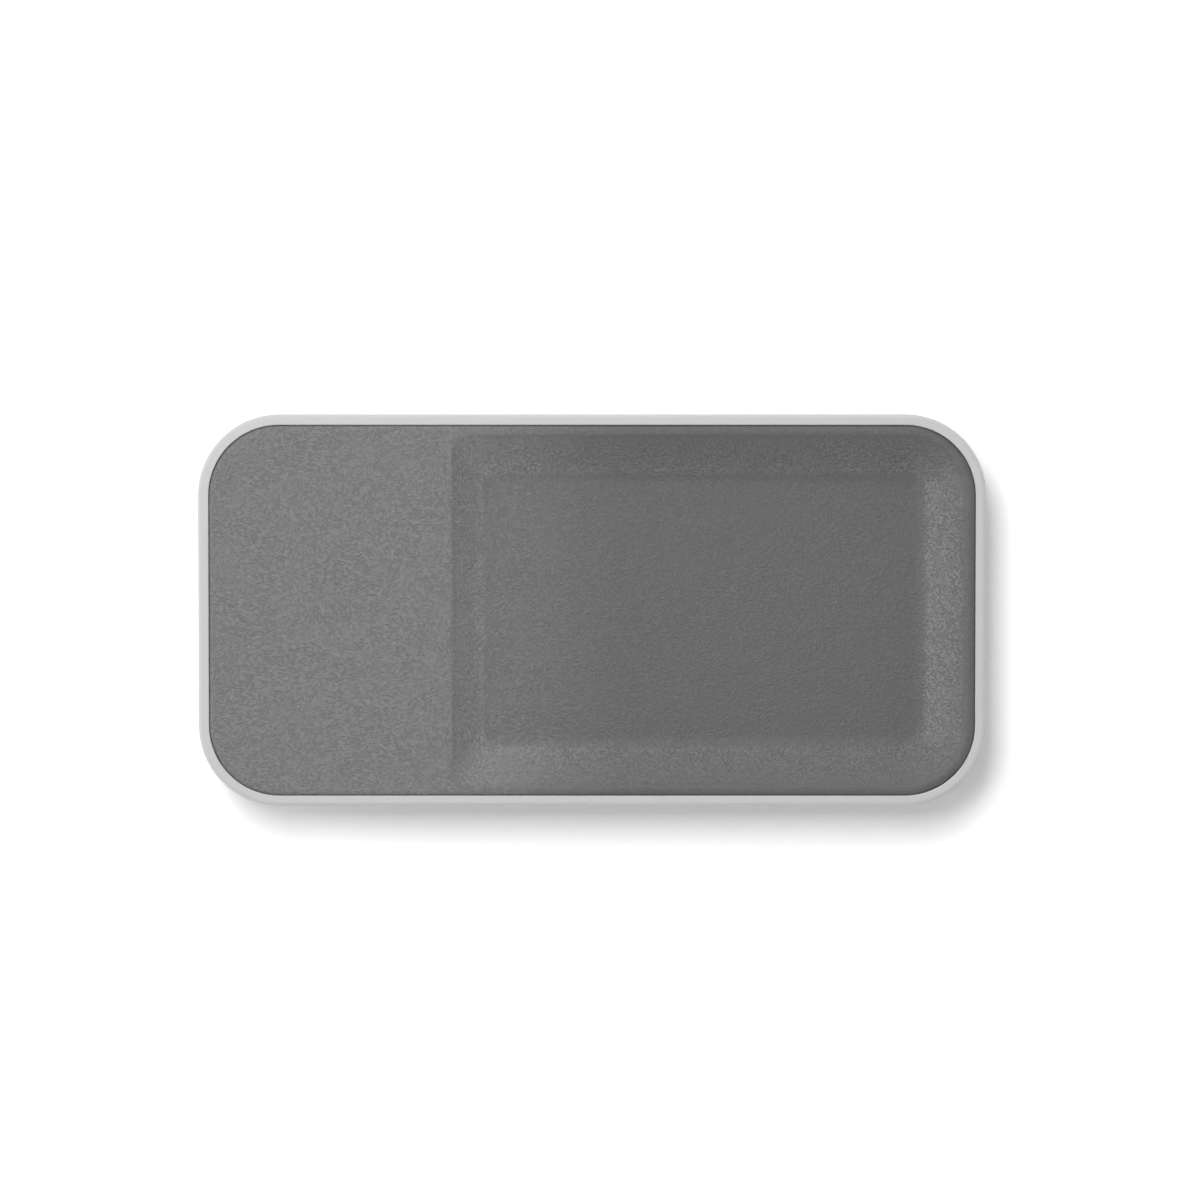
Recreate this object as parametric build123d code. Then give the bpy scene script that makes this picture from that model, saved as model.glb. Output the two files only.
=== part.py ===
import os
from math import radians, tan

from build123d import *

# A lidded desk box. The lid's top is a leather valet tray with a charging platform at its left end.
# +X runs along the length, +Y to the rear where the hinge is, +Z up from the surface that it stands on.

# Outside form
organizer_length = 233.0
organizer_width = 116.0
corner_radius = 24.0
base_height = 22.8  # underside of the base to the parting plane
lid_height = 13.2  # parting plane to the top of the rim
parting_chamfer = 0.4
seat_gap = 0.2  # between pieces that are fixed to each other
overrun = 1.0  # how far a cut runs past what it cuts

# Lid frame
rim_width = 3.2
rim_outer_round = 1.3
rim_inner_round = 0.3
lid_wall = 2.0
ledge_depth = 3.0
ledge_thickness = 1.2
lid_rail_height = 3.6

# Valet tray
platform_rise = 0.3  # leather above the rim
platform_reach = 75.1  # left side of the organizer to the platform's right edge
recess_depth = 7.0
recess_margin = 2.6
slope_run = 11.7
platform_slope_run = 8.9
recess_floor_corner = 3.5
recess_platform_corner = 6.0
recess_floor_round = 6.0
skin_thickness = 1.0
skin_edge_round = 1.8
skin_crest_round = 2.0
glue_film = 0.1  # between the leather and the pan in the recess
carrier_thickness = 1.5
skirt_height = 2.6
skirt_thickness = 1.5
carrier_rib_thickness = 1.0
carrier_rib_count = 5
carrier_rib_gap = 0.4

# Lid cover, its lining and its screws
lining_drop = 0.2  # lining above the parting plane
lining_thickness = 0.8
lining_margin = 0.6
cover_thickness = 1.6
lid_screw_inset = 11.0  # front and rear sides to the screws
lid_screw_end = 21.0  # left and right sides to the outer screws
lid_screw_board_gap = 4.0  # between the circuit board and the next boss
lid_screw_length = 5.0
screw_head_radius = 1.9
screw_head_height = 1.0
screw_shank_radius = 0.9
screw_hole_radius = 1.1
screw_tip_height = 0.6
pilot_radius = 0.9
pilot_spare = 0.4
boss_radius = 2.5

# Charging coil and what holds it
coil_side = 39.2  # left side of the organizer to the coil's centre
coil_inner_radius = 9.6
coil_turns = 9
coil_wire = 0.8
coil_pitch = 1.3
coil_lead_radius = 0.4
coil_lead_bend = 1.2
ferrite_radius = 24.0
ferrite_thickness = 1.2
core_hole_radius = 7.6
locator_gap = 0.4
locator_thickness = 1.0
locator_height = 1.6
bracket_thickness = 1.4
bracket_disc_radius = 20.0
bracket_arm_width = 6.5
bracket_screw_radius = 28.0
bracket_screw_angles = (25.0, 155.0, 270.0)
inner_screw_length = 4.0

# Circuit board
board_length = 46.0
board_width = 32.4
board_thickness = 1.2
board_corner = 2.0
board_standoff = 1.3
board_rear_gap = 0.4
board_side = 48.5  # left side of the organizer to the middle of the board
board_screw_shares = ((-0.42, -0.38), (0.42, -0.38), (0.42, 0.2))
chip_sides = (5.0, 4.0)
chip_height = 0.9
chip_shares = ((-0.04, 0.02), (0.18, 0.14))
capacitor_length = 3.2
capacitor_width = 2.5
capacitor_height = 1.8
capacitor_count = 4
capacitor_pitch = 3.6
capacitor_row_shares = (-0.3, -0.22)
inductor_side = 6.0
inductor_height = 2.6
inductor_round = 1.2
inductor_shares = (-0.3, 0.16)

# Inlet and status light
port_side = 42.5  # left side of the organizer to the middle of the inlet
port_width = 9.0
port_height = 3.2
port_corner = 1.5
port_length = 7.3
port_wall = 0.3
port_recess = 0.4
port_back = 1.2
tongue_width = 6.7
tongue_thickness = 0.7
tongue_length = 4.6
light_side = 56.5  # left side of the organizer to the status light
light_pipe_radius = 0.8
light_pipe_fit = 0.05
light_pipe_rise = 1.0
led_length = 1.6
led_width = 0.8
led_height = 1.4
led_gap = 0.3
light_pipe_length = 6.9
light_pipe_recess = 0.1

# Base
foot_proud = 1.2
foot_thickness = 2.0
foot_radius = 6.0
foot_chamfer = 0.4
foot_edge = 20.0
base_wall = 2.4
base_floor = 2.0
base_bottom_round = 3.0
base_inner_round = 1.6
base_rail_height = 6.0
scoop_width = 36.0
scoop_height = 4.2
scoop_depth = 1.6

# Liner and dividers
liner_gap = 0.3
liner_wall = 2.8
liner_floor = 1.2
liner_drop = 1.0  # liner below the parting plane
liner_outer_round = 2.0
liner_inner_round = 1.5
liner_lip_round = 0.8
groove_depth = 1.4
groove_pitch = 22.0
groove_pairs = 4  # grooves each side of the middle one
divider_thickness = 2.4
divider_gap = 0.3
divider_height = 17.0
divider_round = 3.0
cross_divider_station = 2  # grooves from the middle
lengthwise_divider_place = 10.0  # rear of the middle
lengthwise_divider_overhang = 8.0
lap_share = 0.5  # of the divider's height

# Hinge
hinge_inset = 2.6  # axis in front of the rear face
knuckle_radius = 2.4
knuckle_length = 8.0
knuckle_gap = 0.3
hinge_spacing = 124.0
hinge_pin_radius = 1.0
base_pin_fit = 0.01
lid_pin_fit = 0.06
rail_reach = 3.0
rail_end_wall = 1.5  # of the rail beyond a pin's way in
axis_relief = 0.3
opening_angle = 100.0
bevel_spare_angle = 1.0

# Closing magnets
magnet_radius = 2.5
magnet_thickness = 2.0
magnet_fit = 0.05
magnet_recess = 0.1
magnet_spacing = 154.0
lug_radius = 4.2
lug_inset = 5.0
lug_height = 3.6

# Levels, from the bottom up
base_bottom = foot_proud
base_floor_top = base_bottom + base_floor
liner_floor_top = base_floor_top + liner_floor
parting_plane = base_bottom + base_height
liner_top = parting_plane - liner_drop
lining_bottom = parting_plane + lining_drop
cover_bottom = lining_bottom + lining_thickness
cover_top = cover_bottom + cover_thickness
rim_top = parting_plane + lid_height
platform_top = rim_top + platform_rise
carrier_top = platform_top - skin_thickness
plate_bottom = carrier_top - carrier_thickness
carrier_floor = carrier_top - recess_depth
ledge_top = carrier_top - skirt_height
ledge_bottom = ledge_top - ledge_thickness
board_bottom = cover_top + board_standoff
board_top = board_bottom + board_thickness
coil_bottom = plate_bottom - coil_wire
coil_middle = plate_bottom - coil_wire / 2
ferrite_bottom = coil_bottom - ferrite_thickness
bracket_bottom = ferrite_bottom - bracket_thickness

# Places in plan
left_side = -organizer_length / 2
rear_side = organizer_width / 2
front_side = -organizer_width / 2
skin_inset = rim_width + seat_gap
carrier_inset = skin_inset + skin_thickness
cover_inset = lid_wall + seat_gap
hinge_y = rear_side - hinge_inset
rail_front = hinge_y - rail_reach
coil_x = left_side + coil_side
board_x = left_side + board_side
board_rear = rear_side - rim_width - board_rear_gap
board_y = board_rear - board_width / 2
port_x = left_side + port_side
port_middle = board_top + port_height / 2
light_x = left_side + light_side
light_z = board_top + light_pipe_rise
light_pipe_rear = rear_side - light_pipe_recess
light_pipe_front = light_pipe_rear - light_pipe_length
base_magnet_bottom = parting_plane - magnet_recess - magnet_thickness
lid_magnet_bottom = parting_plane + magnet_recess
liner_inset = base_wall + liner_gap
liner_front = front_side + liner_inset
liner_rear = rail_front - liner_gap
liner_middle = (liner_front + liner_rear) / 2
liner_length = organizer_length - 2 * liner_inset
liner_width = liner_rear - liner_front
liner_corner = corner_radius - liner_inset
pin_length = 3 * knuckle_length + 2 * knuckle_gap
pin_way_length = pin_length + 2 * knuckle_gap
rail_half_length = hinge_spacing / 2 + pin_length / 2 + pin_way_length + rail_end_wall
bevel_angle = opening_angle / 2 + bevel_spare_angle
screw_end = organizer_length / 2 - lid_screw_end
screw_inner = board_x + board_length / 2 + lid_screw_board_gap + boss_radius
screw_columns = (-screw_end, screw_inner, (screw_inner + screw_end) / 2, screw_end)
screw_rows = (front_side + lid_screw_inset, rear_side - lid_screw_inset)
screw_places = [(x, y) for x in screw_columns for y in screw_rows]
hinge_places = (-hinge_spacing / 2, hinge_spacing / 2)
magnet_places = (-magnet_spacing / 2, magnet_spacing / 2)
magnet_y = front_side + lug_inset
board_screws = [(board_x + u * board_length, board_y + v * board_width) for u, v in board_screw_shares]
bracket_screws = [
    Vector(coil_x, 0) + Vector(bracket_screw_radius, 0).rotate(Axis.Z, angle)
    for angle in bracket_screw_angles
]


def slab(inset, bottom, top):
    """A plate of the organizer's outline, drawn in by an inset."""
    length = organizer_length - 2 * inset
    width = organizer_width - 2 * inset
    outline = RectangleRounded(length, width, corner_radius - inset)
    return Pos(0, 0, bottom) * extrude(outline, amount=top - bottom)


def block(left, right, front, rear, bottom, top):
    """A box between six planes."""
    middle = Pos((left + right) / 2, (front + rear) / 2, (bottom + top) / 2)
    return middle * Box(right - left, rear - front, top - bottom)


def post(x, y, radius, bottom, top):
    """An upright cylinder."""
    return Pos(x, y, (bottom + top) / 2) * Cylinder(radius, top - bottom)


def barrel(x, radius, length):
    """A cylinder on the hinge axis."""
    return Pos(x, hinge_y, parting_plane) * Rot(0, 90, 0) * Cylinder(radius, length)


def joined(shapes):
    """One shape from several."""
    whole = shapes[0]
    for shape in shapes[1:]:
        whole += shape
    return whole


def level_edges(part, height):
    """The edges that lie flat at a height."""
    return part.edges().filter_by_position(Axis.Z, height, height)


def hinge_bevel(upwards):
    """What the lid (upwards) or the base gives up behind the axis so that the lid can turn."""
    reach = hinge_inset + overrun
    rise = reach * tan(radians(bevel_angle))
    back = hinge_y + reach
    if upwards:
        corners = [
            (hinge_y, parting_plane),
            (hinge_y, parting_plane - overrun),
            (back, parting_plane - overrun),
            (back, parting_plane + rise),
        ]
    else:
        corners = [
            (hinge_y, parting_plane),
            (hinge_y, parting_plane + overrun),
            (back, parting_plane + overrun),
            (back, parting_plane - rise),
        ]
    profile = Plane.YZ * make_face(Polyline(*corners, close=True))
    wedge = extrude(profile, amount=organizer_length / 2 + overrun, both=True)
    return wedge + barrel(0, axis_relief, organizer_length + 2 * overrun)


def hinge_rail(bottom, top):
    """The thickened rear wall that carries the knuckles, ending in the corners of the outline."""
    rail = block(-rail_half_length, rail_half_length, rail_front, rear_side, bottom, top)
    return rail & slab(lid_wall / 2, bottom, top)


def outer_knuckles():
    """Places of the lid's knuckles, two at each hinge."""
    step = knuckle_length + knuckle_gap
    return [x + side * step for x in hinge_places for side in (-1, 1)]


def pin_channels():
    """The way in for each pin, beside its outboard knuckle."""
    channels = []
    for x in hinge_places:
        side = 1 if x > 0 else -1
        middle = x + side * (pin_length + pin_way_length) / 2
        channels.append(barrel(middle, hinge_pin_radius + axis_relief, pin_way_length))
    return channels


def magnet_lugs(bottom, top, radius):
    """The round lugs inside the front wall, around the magnets."""
    return joined([post(x, magnet_y, radius, bottom, top) for x in magnet_places])


def recess_sheet(left, right, half_width, left_radius, right_radius):
    """A rectangle whose two ends have different corner radii."""
    sheet = Pos((left + right) / 2, 0) * Rectangle(right - left, 2 * half_width)
    sheet = fillet(sheet.vertices().group_by(Axis.X)[0], left_radius)
    return fillet(sheet.vertices().group_by(Axis.X)[-1], right_radius)


def dish(lift, above):
    """The air in the valet recess over the carrier, moved up by lift and carried on upwards by above."""
    mouth_inset = skin_inset + recess_margin
    left = left_side + platform_reach
    right = organizer_length / 2 - mouth_inset
    half_width = organizer_width / 2 - mouth_inset
    mouth = recess_sheet(left, right, half_width, recess_platform_corner, corner_radius - mouth_inset)
    floor = recess_sheet(
        left + platform_slope_run,
        right - slope_run,
        half_width - slope_run,
        recess_floor_corner,
        recess_floor_corner,
    )
    top = carrier_top + lift
    bottom = carrier_floor + lift
    hollow = loft([Pos(0, 0, bottom) * floor, Pos(0, 0, top) * mouth], ruled=True)
    hollow = fillet(level_edges(hollow, bottom), recess_floor_round)
    if above:
        hollow += Pos(0, 0, top) * extrude(mouth, amount=above)
    return hollow


def make_lid_frame():
    """The visible rim and the sides of the lid."""
    frame = slab(0, parting_plane, rim_top)
    frame = fillet(level_edges(frame, rim_top), rim_outer_round)
    frame = chamfer(level_edges(frame, parting_plane), parting_chamfer)
    frame -= slab(rim_width, ledge_top, rim_top + overrun)
    frame -= slab(rim_width + ledge_depth, ledge_bottom - overrun, ledge_top + overrun)
    frame -= slab(rim_width, cover_top, ledge_bottom)
    frame -= slab(lid_wall, parting_plane - overrun, cover_top)
    top_face = frame.faces().sort_by(Axis.Z)[-1]
    frame = fillet(top_face.inner_wires()[0].edges(), rim_inner_round)
    frame += hinge_rail(parting_plane, parting_plane + lid_rail_height)
    frame += magnet_lugs(parting_plane, parting_plane + lug_height, lug_radius)
    pockets_top = lid_magnet_bottom + magnet_thickness
    frame -= magnet_lugs(parting_plane - overrun, pockets_top, magnet_radius + magnet_fit)
    frame -= hinge_bevel(True)
    for x in hinge_places:
        frame -= barrel(x, knuckle_radius + knuckle_gap, knuckle_length + 2 * knuckle_gap)
    for channel in pin_channels():
        frame -= channel
    for x in outer_knuckles():
        frame += barrel(x, knuckle_radius, knuckle_length)
        frame -= barrel(x, hinge_pin_radius + lid_pin_fit, knuckle_length + 2 * knuckle_gap)
    mouth = RectangleRounded(port_width + 2 * seat_gap, port_height + seat_gap, port_corner)
    mouth = Plane.XZ * mouth
    inlet = extrude(mouth, amount=rim_width + overrun, both=True)
    frame -= Pos(port_x, rear_side, port_middle) * inlet
    light_hole = Cylinder(light_pipe_radius + light_pipe_fit, 2 * (rim_width + overrun))
    frame -= Pos(light_x, rear_side, light_z) * Rot(90, 0, 0) * light_hole
    return frame


def make_tray_carrier():
    """The moulded pan under the leather."""
    plate = slab(carrier_inset, ledge_top, carrier_top)
    plate = fillet(level_edges(plate, carrier_top), skin_edge_round - skin_thickness)
    plate -= slab(carrier_inset + skirt_thickness, ledge_top - overrun, plate_bottom)
    carrier = plate + dish(-carrier_thickness - glue_film, carrier_thickness)
    for x, y in screw_places:
        carrier += post(x, y, boss_radius, cover_top, plate_bottom)
    for x, y in board_screws:
        carrier += post(x, y, boss_radius, board_top, plate_bottom)
    for place in bracket_screws:
        carrier += post(place.X, place.Y, boss_radius, ferrite_bottom, plate_bottom)
    locator_inner = ferrite_radius + locator_gap
    locator = Cylinder(locator_inner + locator_thickness, locator_height) - Cylinder(
        locator_inner, locator_height
    )
    lead_gap = block(0, locator_inner, 0, 2 * locator_inner, -locator_height, locator_height)
    locator -= lead_gap
    carrier += Pos(coil_x, 0, plate_bottom - locator_height / 2) * locator
    carrier += floor_ribs()
    carrier -= dish(-glue_film, glue_film + overrun)
    for x, y in screw_places:
        depth = lid_screw_length - cover_thickness + pilot_spare
        carrier -= post(x, y, pilot_radius, cover_top - overrun, cover_top + depth)
    for x, y in board_screws:
        depth = inner_screw_length - board_thickness + pilot_spare
        carrier -= post(x, y, pilot_radius, board_top - overrun, board_top + depth)
    for place in bracket_screws:
        depth = inner_screw_length - bracket_thickness + pilot_spare
        carrier -= post(place.X, place.Y, pilot_radius, ferrite_bottom - overrun, ferrite_bottom + depth)
    return carrier


def floor_ribs():
    """Stiffening ribs across the underside of the recess floor."""
    mouth_inset = skin_inset + recess_margin
    half_width = organizer_width / 2 - mouth_inset - slope_run
    left = left_side + platform_reach + platform_slope_run
    right = organizer_length / 2 - mouth_inset - slope_run
    pitch = (right - left) / (carrier_rib_count + 1)
    bottom = cover_top + carrier_rib_gap
    top = carrier_floor - carrier_thickness / 2
    half_rib = carrier_rib_thickness / 2
    ribs = []
    for index in range(carrier_rib_count):
        x = left + (index + 1) * pitch
        ribs.append(block(x - half_rib, x + half_rib, -half_width, half_width, bottom, top))
    ribs.append(block(left, right, -half_rib, half_rib, bottom, top))
    return joined(ribs)


def make_tray_skin():
    """The leather over the pan, turned down at its edge."""
    skin = slab(skin_inset, ledge_top, platform_top)
    skin = fillet(level_edges(skin, platform_top), skin_edge_round)
    core = slab(carrier_inset, ledge_top - overrun, carrier_top)
    core = fillet(level_edges(core, carrier_top), skin_edge_round - skin_thickness)
    skin -= core
    skin += dish(0, 0)
    skin -= dish(skin_thickness, overrun)
    top_face = skin.faces().sort_by(Axis.Z)[-1]
    crest = top_face.inner_wires()[0].edges()
    return fillet(crest, skin_crest_round)


def make_lid_cover():
    """The plate that closes the lid from below."""
    cover = slab(cover_inset, cover_bottom, cover_top)
    cover -= lid_lining_cut(cover_bottom, cover_top)
    for x, y in screw_places:
        cover -= post(x, y, screw_hole_radius, cover_bottom - overrun, cover_top + overrun)
        sink = Cone(screw_head_radius + seat_gap, screw_hole_radius, screw_head_height)
        cover -= Pos(x, y, cover_bottom + screw_head_height / 2) * sink
    return cover


def lid_lining_cut(bottom, top):
    """Room for the lid's rail and lugs in what closes the lid."""
    half_length = organizer_length / 2
    rail = block(
        -half_length, half_length, rail_front - seat_gap, rear_side, bottom - overrun, top + overrun
    )
    return rail + magnet_lugs(bottom - overrun, top + overrun, lug_radius + seat_gap)


def make_lid_lining():
    """The felt sheet inside the lid."""
    lining = slab(cover_inset + lining_margin, lining_bottom, cover_bottom)
    return lining - lid_lining_cut(lining_bottom, cover_bottom)


def countersunk_screw(length):
    """A screw that points up, with the flat of its head at the origin."""
    outline = [
        (0, 0),
        (screw_head_radius, 0),
        (screw_shank_radius, screw_head_height),
        (screw_shank_radius, length - screw_tip_height),
        (0, length),
    ]
    return revolve(Plane.XZ * make_face(Polyline(*outline, close=True)), Axis.Z)


def pan_screw(length):
    """A screw that points up, with the seat of its head at the origin."""
    outline = [
        (0, -screw_head_height),
        (screw_head_radius, -screw_head_height),
        (screw_head_radius, 0),
        (screw_shank_radius, 0),
        (screw_shank_radius, length - screw_tip_height),
        (0, length),
    ]
    return revolve(Plane.XZ * make_face(Polyline(*outline, close=True)), Axis.Z)


def make_lid_screws():
    """The screws that clamp the lid together, seen only from inside."""
    screw = countersunk_screw(lid_screw_length)
    return [Pos(x, y, cover_bottom) * screw for x, y in screw_places]


def make_inner_screws():
    """The screws of the board and of the coil's bracket."""
    screw = pan_screw(inner_screw_length)
    board = [Pos(x, y, board_bottom) * screw for x, y in board_screws]
    bracket = [Pos(place.X, place.Y, bracket_bottom) * screw for place in bracket_screws]
    return board + bracket


def make_charging_coil():
    """A flat spiral of half turns, each one half a pitch wider than the last."""
    half = coil_wire / 2
    outer_side = []
    inner_side = []
    for index in range(2 * coil_turns):
        radius = coil_inner_radius + index * coil_pitch / 2
        lower = index % 2
        centre = (lower * coil_pitch / 2, 0)
        start_angle = 180 * lower
        outer_side.append(CenterArc(centre, radius + half, start_angle, 180))
        inner_side.append(CenterArc(centre, radius - half, start_angle, 180))
    inner_end = Line((coil_inner_radius - half, 0), (coil_inner_radius + half, 0))
    last = coil_inner_radius + coil_turns * coil_pitch
    outer_end = Line((last - half, 0), (last + half, 0))
    winding = make_face(outer_side + inner_side + [inner_end, outer_end])
    print("coil: least gap between turns", coil_pitch - coil_wire)
    return Pos(coil_x, 0, coil_bottom) * extrude(winding, amount=coil_wire)


def make_ferrite_shield():
    """The disc that turns the field up through the platform."""
    disc = Cylinder(ferrite_radius, ferrite_thickness) - Cylinder(core_hole_radius, ferrite_thickness)
    return Pos(coil_x, 0, ferrite_bottom + ferrite_thickness / 2) * disc


def make_coil_bracket():
    """The moulded spider under the shield."""
    outline = Circle(bracket_disc_radius)
    for angle in bracket_screw_angles:
        arm = Pos(bracket_screw_radius / 2, 0) * Rectangle(bracket_screw_radius, bracket_arm_width)
        arm += Pos(bracket_screw_radius, 0) * Circle(bracket_arm_width / 2)
        outline += Rot(0, 0, angle) * arm
    outline -= Circle(core_hole_radius)
    for angle in bracket_screw_angles:
        outline -= Rot(0, 0, angle) * Pos(bracket_screw_radius, 0) * Circle(screw_hole_radius)
    return Pos(coil_x, 0, bracket_bottom) * extrude(outline, amount=bracket_thickness)


def tube(points, bend, radius):
    """A round wire along straight runs joined by arcs."""
    path = FilletPolyline(*points, radius=bend)
    section = Plane(origin=path @ 0, z_dir=path % 0) * Circle(radius)
    return sweep(section, path=path)


def make_coil_leads():
    """The two leads from the spiral's ends to the board."""
    low = board_top + coil_lead_radius
    under = bracket_bottom - 2 * coil_lead_radius
    board_front = board_rear - board_width
    landing = board_front + boss_radius
    edge = board_front - boss_radius
    outer_x = coil_x + coil_inner_radius + coil_turns * coil_pitch
    outer = tube(
        [
            (outer_x, 0, coil_middle),
            (outer_x, edge, coil_middle),
            (outer_x, board_front, low),
            (outer_x, landing, low),
        ],
        coil_lead_bend,
        coil_lead_radius,
    )
    inner_x = coil_x + coil_inner_radius
    turn = core_hole_radius / 2
    core_x = coil_x + turn
    inner = tube(
        [
            (inner_x, 0, coil_middle),
            (inner_x, -turn, coil_middle),
            (core_x, -turn, coil_middle),
            (core_x, 0, under),
            (core_x, edge, under),
            (core_x, board_front, low),
            (core_x, landing, low),
        ],
        coil_lead_bend,
        coil_lead_radius,
    )
    return [outer, inner]


def make_circuit_board():
    """The charger's board, on bosses under the platform."""
    board = Pos(board_x, board_y, board_bottom) * extrude(
        RectangleRounded(board_length, board_width, board_corner), amount=board_thickness
    )
    for x, y in board_screws:
        board -= post(x, y, screw_hole_radius, board_bottom - overrun, board_top + overrun)
    return board


def on_board(shares, shape, height):
    """A component standing on the board at shares of its length and width."""
    u, v = shares
    place = Pos(board_x + u * board_length, board_y + v * board_width, board_top + height / 2)
    return place * shape


def make_control_chips():
    """The charger's controller and its power stage."""
    return [
        on_board(shares, Box(side, side, chip_height), chip_height)
        for side, shares in zip(chip_sides, chip_shares)
    ]


def make_board_capacitors():
    """The row of resonance capacitors."""
    first = on_board(
        capacitor_row_shares, Box(capacitor_width, capacitor_length, capacitor_height), capacitor_height
    )
    return [Pos(index * capacitor_pitch, 0, 0) * first for index in range(capacitor_count)]


def make_power_inductor():
    """The moulded inductor of the power stage."""
    body = Box(inductor_side, inductor_side, inductor_height)
    body = fillet(body.edges().filter_by(Axis.Z), inductor_round)
    return on_board(inductor_shares, body, inductor_height)


def make_status_led():
    """The light behind the light pipe."""
    rear = light_pipe_front - led_gap
    half_length = led_length / 2
    top = board_top + led_height
    return block(light_x - half_length, light_x + half_length, rear - led_width, rear, board_top, top)


def make_light_pipe():
    """The clear rod that brings the light to the rear face."""
    middle = (light_pipe_front + light_pipe_rear) / 2
    return Pos(light_x, middle, light_z) * Rot(90, 0, 0) * Cylinder(light_pipe_radius, light_pipe_length)


def port_prism(inset, front, rear):
    """A rounded bar with the inlet's section, between two planes across its length."""
    sheet = RectangleRounded(port_width - 2 * inset, port_height - 2 * inset, port_corner - inset)
    bar = extrude(Plane.XZ * sheet, amount=front - rear)
    return Pos(port_x, front, port_middle) * bar


def make_port_shell():
    """The inlet's steel shell, on the board and in the rear wall."""
    rear = rear_side - port_recess
    front = rear - port_length
    return port_prism(0, front, rear) - port_prism(port_wall, front + port_back, rear + overrun)


def make_port_tongue():
    """The insulator in the inlet, with its contact tongue."""
    rear = rear_side - port_recess
    back = rear - port_length + port_back
    fill = port_prism(port_wall, back, back + port_back)
    half_width = tongue_width / 2
    half_thickness = tongue_thickness / 2
    tongue = block(
        port_x - half_width,
        port_x + half_width,
        back,
        back + port_back + tongue_length,
        port_middle - half_thickness,
        port_middle + half_thickness,
    )
    return fill + tongue


def make_magnet(x, bottom):
    """One closing magnet, a disc in its lug."""
    return post(x, magnet_y, magnet_radius, bottom, bottom + magnet_thickness)


def make_base_shell():
    """The moulded tub that stands on the desk."""
    shell = slab(0, base_bottom, parting_plane)
    shell = fillet(level_edges(shell, base_bottom), base_bottom_round)
    shell = chamfer(level_edges(shell, parting_plane), parting_chamfer)
    cavity = slab(base_wall, base_floor_top, parting_plane + overrun)
    shell -= fillet(level_edges(cavity, base_floor_top), base_inner_round)
    shell += hinge_rail(parting_plane - base_rail_height, parting_plane)
    shell += magnet_lugs(parting_plane - lug_height, parting_plane, lug_radius)
    shell -= magnet_lugs(base_magnet_bottom, parting_plane + overrun, magnet_radius + magnet_fit)
    shell -= hinge_bevel(False)
    for x in outer_knuckles():
        shell -= barrel(x, knuckle_radius + knuckle_gap, knuckle_length + 2 * knuckle_gap)
    for channel in pin_channels():
        shell -= channel
    for x in hinge_places:
        shell += barrel(x, knuckle_radius, knuckle_length)
        shell -= barrel(x, hinge_pin_radius + base_pin_fit, knuckle_length + 2 * knuckle_gap)
    scoop = extrude(Plane.XZ * Ellipse(scoop_width / 2, scoop_height), amount=scoop_depth, both=True)
    shell -= Pos(0, front_side, parting_plane) * scoop
    seat_top = base_bottom + foot_thickness - foot_proud
    for x, y in foot_places().values():
        shell -= post(x, y, foot_radius + seat_gap, base_bottom - overrun, seat_top)
    return shell


def foot_places():
    """Where each foot stands."""
    x = organizer_length / 2 - foot_edge
    y = organizer_width / 2 - foot_edge
    return {
        "foot_front_left": (-x, -y),
        "foot_front_right": (x, -y),
        "foot_rear_left": (-x, y),
        "foot_rear_right": (x, y),
    }


def make_foot(x, y):
    """One rubber foot, seated in the base's underside."""
    foot = post(x, y, foot_radius, 0, foot_thickness)
    return chamfer(level_edges(foot, 0), foot_chamfer)


def liner_slab(inset, bottom, top):
    """A plate of the liner's outline, drawn in by an inset."""
    outline = RectangleRounded(liner_length - 2 * inset, liner_width - 2 * inset, liner_corner - inset)
    return Pos(0, liner_middle, bottom) * extrude(outline, amount=top - bottom)


def make_base_liner():
    """The felt tray in the base, grooved for the dividers."""
    liner = liner_slab(0, base_floor_top, liner_top)
    liner = fillet(level_edges(liner, base_floor_top), liner_outer_round)
    cavity = liner_slab(liner_wall, liner_floor_top, liner_top + overrun)
    liner -= fillet(level_edges(cavity, liner_floor_top), liner_inner_round)
    lip = liner.faces().sort_by(Axis.Z)[-1].inner_wires()[0].edges()
    liner = fillet(lip, liner_lip_round)
    half_groove = divider_thickness / 2 + divider_gap
    for station in range(-groove_pairs, groove_pairs + 1):
        x = station * groove_pitch
        front = liner_front + liner_wall
        rear = liner_rear - liner_wall
        sides = (
            (front - groove_depth, front + liner_inner_round + divider_gap),
            (rear - liner_inner_round - divider_gap, rear + groove_depth),
        )
        for low, high in sides:
            liner -= block(
                x - half_groove, x + half_groove, low, high, liner_floor_top, liner_top + overrun
            )
    liner -= magnet_lugs(parting_plane - lug_height - seat_gap, parting_plane, lug_radius + seat_gap)
    return liner


def divider_slot(x, y, bottom, top):
    """The room that one divider leaves for the other where they cross."""
    half = divider_thickness / 2 + divider_gap
    return block(x - half, x + half, y - half, y + half, bottom, top)


def make_cross_divider(x):
    """A plate from the front grooves to the rear ones."""
    reach = groove_depth - divider_gap
    front = liner_front + liner_wall - reach
    rear = liner_rear - liner_wall + reach
    half = divider_thickness / 2
    top = liner_floor_top + divider_height
    plate = block(x - half, x + half, front, rear, liner_floor_top, top)
    corners = plate.edges().filter_by(Axis.X).group_by(Axis.Z)[-1]
    plate = fillet(corners, divider_round)
    lap = liner_floor_top + divider_height * lap_share
    return plate - divider_slot(x, lengthwise_divider_place, lap, top + overrun)


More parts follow.
